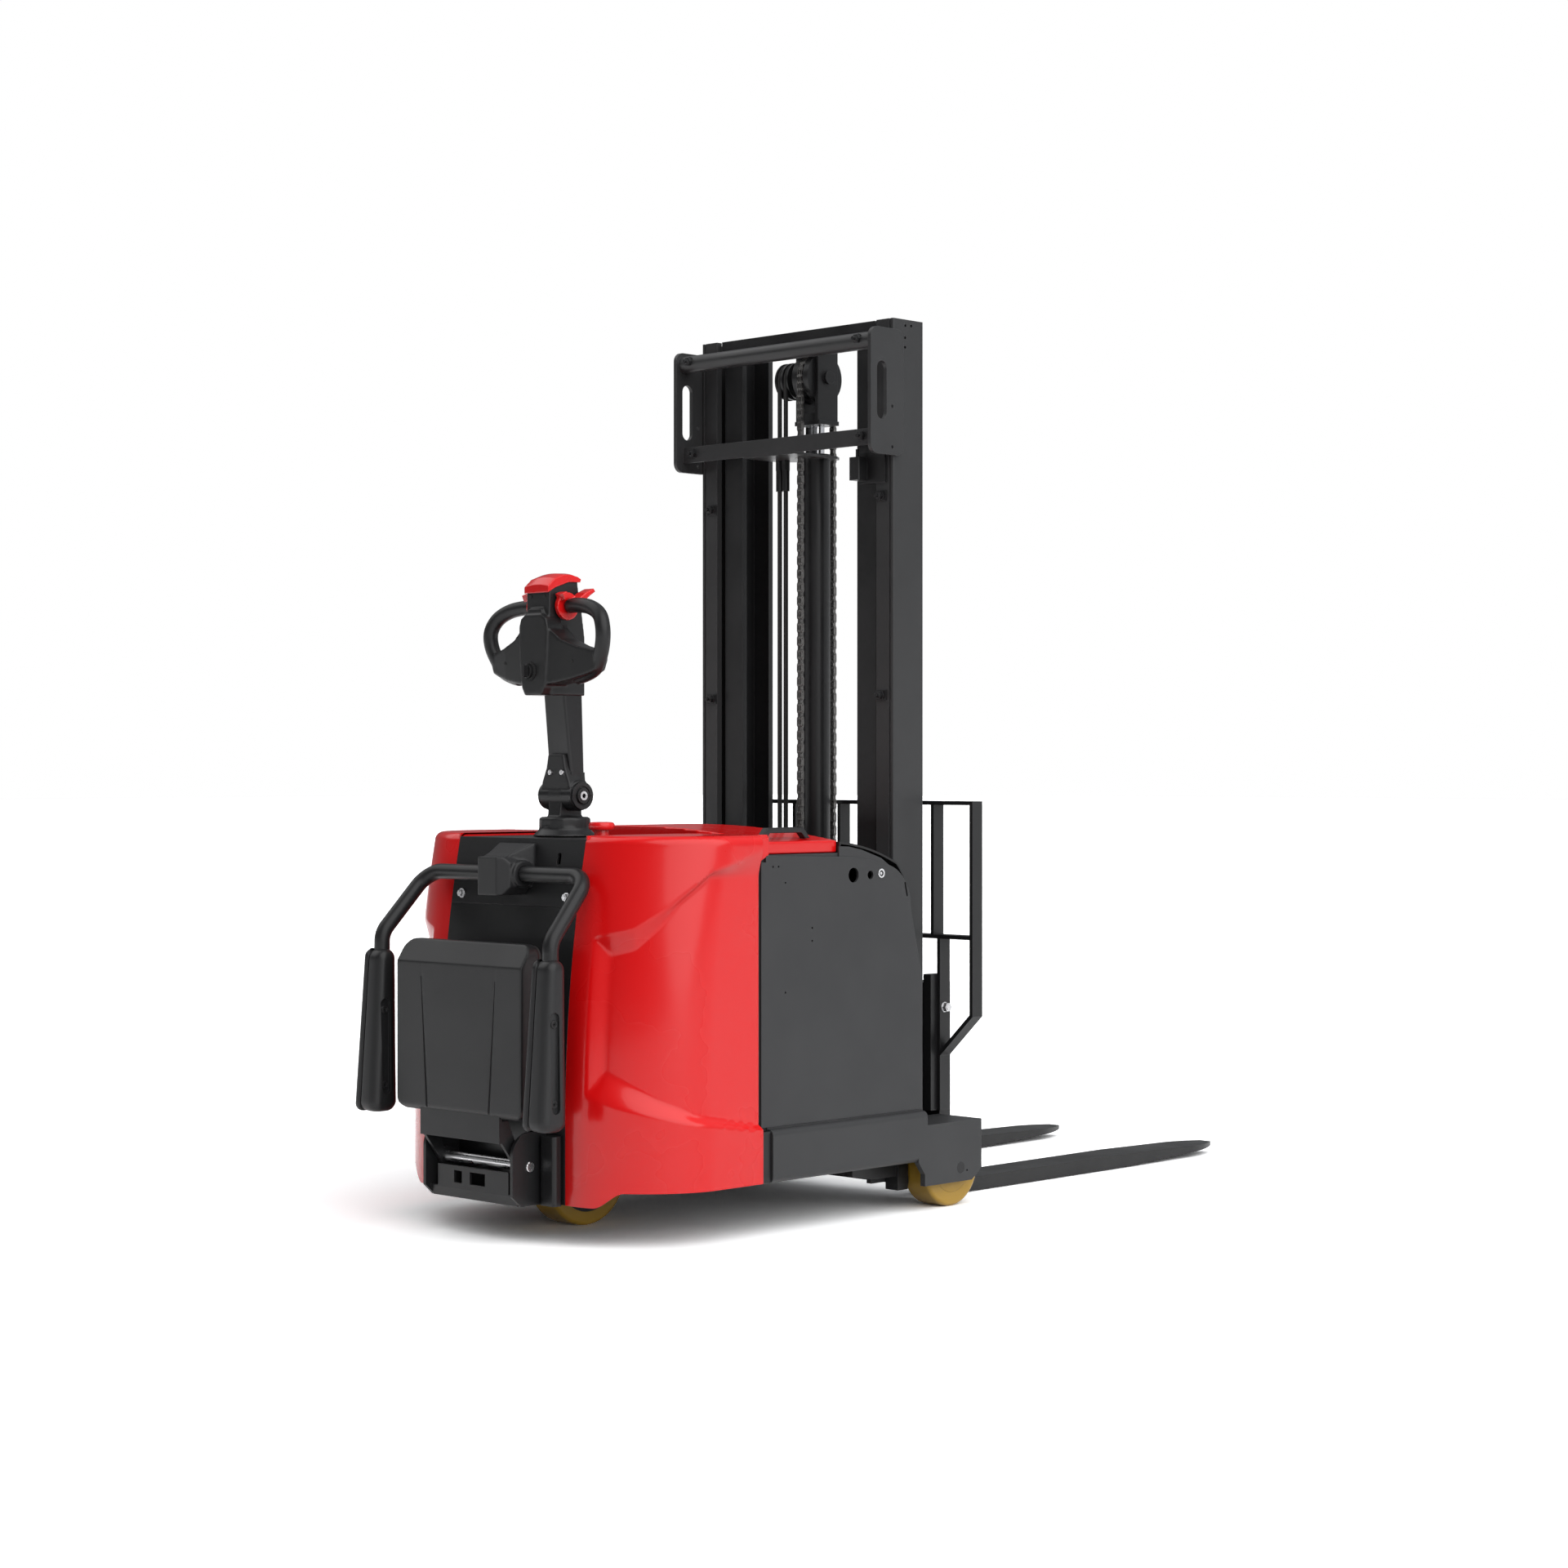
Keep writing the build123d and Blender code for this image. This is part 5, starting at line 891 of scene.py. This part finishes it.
for side, hand in (("right", 1), ("left", -1)):
    middle = hand * PAD_MIDDLE
    cushion = pad_piece(middle, (0.0, 0.27), (0.014, 0.004, 0.004, 0.014), 0.018)
    body = pad_piece(middle, (0.31, 1.0), (0.005, 0.022, 0.022, 0.005), 0.022)
    core = pad_piece(middle, (0.1, 0.5), (0.010, 0.010, 0.010, 0.010), 0.022, 0.005)
    parts = [from_mesh(cushion, "cushion"), from_mesh(body, "body"), from_mesh(core, "core")]
    pad = parts[1]
    outline = []
    for z, start in ((0.302, 180), (0.488, 0)):
        for i in range(9):
            angle = math.radians(start + 180 * i / 8)
            outline.append((SLOT_Y + SLOT_HALF * math.cos(angle), z + SLOT_HALF * math.sin(angle)))
    near, far = middle + 0.026, middle + 0.045
    recess = bmesh.new()
    bar_into(recess, near, far, outline)
    cut_with(pad, recess)
    turns = [math.radians(22.5 * i) for i in range(16)]
    for z in (0.311, 0.475):
        for outer, inner, reach in ((0.0085, 0.0055, 0.0030), (0.0050, 0.0026, 0.0022)):
            steps = ((outer, -0.002), (outer, reach - 0.0006), (outer - 0.0006, reach))
            steps += ((inner, reach), (inner, 0.0004))
            rings = []
            for radius, out in steps:
                rings.append([
                    (near + out, SLOT_Y + radius * math.cos(t), z + radius * math.sin(t))
                    for t in turns
                ])
            parts.append(from_mesh(tube_of(rings), "screw"))
    select_only(pad)
    for part in parts:
        part.select_set(True)
    bpy.ops.object.join()
    smooth(pad, 35)
    place(
        pad, f"hip_pad_{side}", black_plastic, f"arm_{side}", "black_plastic", f"arm_pad_{side}"
    )

# Lift chain: leaf chain of oval link plates on pins, laced four and three, from its anchor
# over the sheave and down to the carriage.
SHEAVE_Y, SHEAVE_Z, CHAIN_RADIUS = MAST + 0.076, 1.925, 0.056
PITCH = 0.0159
PLATE_ROUND = 0.0049
PLATE_THICK = 0.0015
PIN_RADIUS = 0.0023
PIN_HALF = 0.0085
strand_rear, strand_front = SHEAVE_Z - 0.640, SHEAVE_Z - 0.330
wrap = math.pi * CHAIN_RADIUS


def chain_point(run):
    """Place and direction on the chain line, run metres from the anchor."""
    if run < strand_rear:
        return (SHEAVE_Y - CHAIN_RADIUS, SHEAVE_Z - strand_rear + run), (0.0, 1.0)
    if run < strand_rear + wrap:
        turn = (run - strand_rear) / CHAIN_RADIUS
        spot = (
            SHEAVE_Y - CHAIN_RADIUS * math.cos(turn),
            SHEAVE_Z + CHAIN_RADIUS * math.sin(turn),
        )
        return spot, (math.sin(turn), math.cos(turn))
    drop = run - strand_rear - wrap
    return (SHEAVE_Y + CHAIN_RADIUS, SHEAVE_Z - drop), (0.0, -1.0)


strands = [bmesh.new(), bmesh.new()]
links = int((strand_rear + wrap + strand_front) / PITCH)
for link in range(links):
    chain = strands[link * PITCH > strand_rear + wrap / 2]
    (y0, z0), _ = chain_point(link * PITCH)
    (y1, z1), _ = chain_point((link + 1) * PITCH)
    span = math.hypot(y1 - y0, z1 - z0)
    run_y, run_z = (y1 - y0) / span, (z1 - z0) / span
    plate = []
    for (y, z), start in (((y0, z0), 90), ((y1, z1), -90)):
        for i in range(5):
            angle = math.radians(start + 45 * i)
            a, b = PLATE_ROUND * math.cos(angle), PLATE_ROUND * math.sin(angle)
            plate.append((y + a * run_y - b * run_z, z + a * run_z + b * run_y))
    stations = (-0.0073, -0.0025, 0.0010, 0.0058) if link % 2 else (-0.0049, -0.0008, 0.0034)
    for x in stations:
        bar_into(chain, x, x + PLATE_THICK, plate)
    turns = [math.radians(60 * i) for i in range(6)]
    pin = [(y0 + PIN_RADIUS * math.cos(t), z0 + PIN_RADIUS * math.sin(t)) for t in turns]
    bar_into(chain, -PIN_HALF, PIN_HALF, pin)
rising = from_mesh(strands[0], "chain_rear")
place(rising, "chain_rear", chain_steel, None, "chain_steel")
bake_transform(rising)
falling = from_mesh(strands[1], "leaf_chain")
place(falling, "leaf_chain", chain_steel, None, "chain_steel", "lift_chain")
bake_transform(falling)

# Carriage hoses: two black rubber hoses that rise from their couplings, pass over their own
# wheel beside the chain and drop to the carriage.
HOSE = 5.5
rise, fall = bmesh.new(), bmesh.new()
for x in (-86, -66):
    turns = [math.radians(15 * i) for i in range(13)]
    over = [(x, 76 - 38 * math.cos(t), 1925 + 38 * math.sin(t)) for t in turns]
    pipe(rise, [(x, 38, 1743 + 26 * i) for i in range(7)] + over[:7], HOSE, 12)
    pipe(fall, over[6:] + [(x, 114, 1925 - 55 * i) for i in range(1, 30)], HOSE, 12)
rise = from_mesh(rise, "hose_rise")
place(rise, "hose_rise", rubber, None, "black_rubber")
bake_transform(rise)
fall = from_mesh(fall, "hose_fall")
place(fall, "hose_fall", rubber, None, "black_rubber", "hoses_running")
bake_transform(fall)
for hose in (rise, fall):
    smooth(hose, 60)


# Fasteners and small fittings: hex screws on washers for the mast, covers and backrest, the
# lock in each side panel, and the screws, barrel and bosses of the tiller's pivot.
def bolt(shape, axis, spot, away, across, head, washer):
    """Hex screw with its washer, standing on spot and pointing away along the axis."""
    x, y, z = spot
    flat = {"x": (y, z), "y": (x, z), "z": (x, y)}[axis]
    base = {"x": x, "y": y, "z": z}[axis]
    disc(shape, axis, washer, base - 0.5 * away, base + 2 * away, flat, 24)
    disc(shape, axis, across / 1.73, base + 2 * away, base + (2 + head) * away, flat, 6)
    disc(shape, axis, across / 2.9, base + 2 * away, base + (4 + head) * away, flat, 16)


def fitted(shape, name, finish, body, slot):
    """Finished set of small fittings."""
    obj = from_mesh(shape, name)
    smooth(obj, 35)
    return place(obj, name, finish, body, slot)


dark = bmesh.new()
for hand in (-1, 1):
    for z in (1625, 1167):
        bolt(dark, "y", (hand * 277, 0, z), -1, 17, 10, 11)
        disc(dark, "y", 4.5, -10, -22, (hand * 277, z), 12)
        near, far = hand * 262, hand * 292
        clip = [(near, z - 12), (far, z - 12), (far, z + 12), (near, z + 12)]
        prism(dark, "y", -3, 0.5, clip)
    for y, z in ((-62, 1757), (-76, 1977)):
        bolt(dark, "y", (hand * 276, y, z), -1, 18, 10, 12)
        disc(dark, "y", 4.5, y - 10, y - 22, (hand * 276, z), 12)
fitted(dark, "mast_screws", black_coat, "chassis", "black_paint")

silver = bmesh.new()
for x in (-172, 172):
    bolt(silver, "y", (x, -871, 726), -1, 13, 7, 10.5)
LOCK = (-167, 766)
for hand in (-1, 1):
    ring_of(silver, "x", 10.4, 6.4, hand * 424, hand * 429.5, LOCK, 32)
    disc(silver, "x", 3.4, hand * 424, hand * 428.5, LOCK, 16)
fitted(silver, "panel_fittings", plated, "chassis", "steel")

posts = bmesh.new()
for hand in (-1, 1):
    bolt(posts, "x", (hand * 321.5, 168, 444), hand, 19, 11, 12)
fitted(posts, "backrest_bolts", plated, "carriage", "steel")

PIVOT = (-722, 939)
tiller_fittings = bmesh.new()
for x in (-14, 24):
    disc(tiller_fittings, "y", 5.4, -750, -755, (x, 990), 24)
    ring_of(tiller_fittings, "y", 5.4, 2.6, -755, -756.5, (x, 990), 24)
ring_of(tiller_fittings, "x", 10, 5, 56, 61, PIVOT, 24)
fitted(tiller_fittings, "tiller_screws", plated, "tiller", "steel")
barrel = bmesh.new()
disc(barrel, "x", 33, -49, 49, PIVOT)
heel = ((-24, 1030), (24, 1030), (30, 1000), (44, 968))
heel += ((46, 940), (-46, 940), (-44, 968), (-30, 1000))
prism(barrel, "y", -752, -712, heel)
barrel = eased(barrel, "barrel", 0.0019, 9)
place(barrel, "pivot_barrel", black_plastic, "tiller", "black_plastic")
boss = bmesh.new()
for hand in (-1, 1):
    for outer, inner, reach in ((30, 21, 57), (21, 17, 54.5), (17, 9.5, 59.5)):
        ring_of(boss, "x", outer, inner, hand * 44, hand * reach, PIVOT, 48)
fitted(boss, "pivot_caps", black_plastic, "tiller", "black_plastic")

# Wheel scrapers: bent black arms under the rail that carry a scraper block behind each
# load wheel.
scrapers = bmesh.new()
for hand in (-1, 1):
    block = ((-45, 43), (-12, 43), (-9, 60), (-12, 110), (-45, 110))
    prism(scrapers, "x", hand * 330, hand * 368, block)
    arm = ((-190, 86), (-120, 75), (-45, 75), (-45, 104), (-190, 104))
    prism(scrapers, "x", hand * 336, hand * 362, arm)
fitted(scrapers, "wheel_scrapers", black_coat, "chassis", "black_paint")

# Cowl sides: grey cheeks that carry the side panels' face up to the cowl's edge.
cheeks = bmesh.new()
for hand in (-1, 1):
    edge = ((-301, 801), (-301, 828), (-270, 827), (-229, 819.5), (-165, 800))
    edge += ((-132, 780), (-118, 768), (-140, 769), (-170, 784), (-229, 799))
    prism(cheeks, "x", hand * 421, hand * 425.5, edge)
fitted(cheeks, "cowl_cheeks", grey_coat, "chassis", "grey_paint")

# Emergency stop: a mushroom head on a waisted stem.
low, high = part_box("stop_button")
middle = ((low[0] + high[0]) / 2 * MM, (low[1] + high[1]) / 2 * MM - MAST * MM)
wide = (high[0] - low[0]) / 2 * MM
foot, crown = low[2] * MM, high[2] * MM + 6
profile = ((0.62, foot), (0.55, crown - 18), (0.91, crown - 17), (0.99, crown - 14))
profile += ((1.0, crown - 6), (0.94, crown - 2.0), (0.78, crown - 0.3), (0.5, crown), (0.05, crown))
turns = [math.tau * i / 40 for i in range(40)]
rings = []
for share, z in profile:
    reach = wide * share
    ring = [(middle[0] + reach * math.cos(t), middle[1] + reach * math.sin(t)) for t in turns]
    rings.append([(x / MM, MAST + y / MM, z / MM) for x, y in ring])
mushroom = from_mesh(tube_of(rings), "mushroom")
smooth(mushroom, 45)
place(mushroom, "stop_mushroom", control_red, "stop", "red_control", "stop_button")
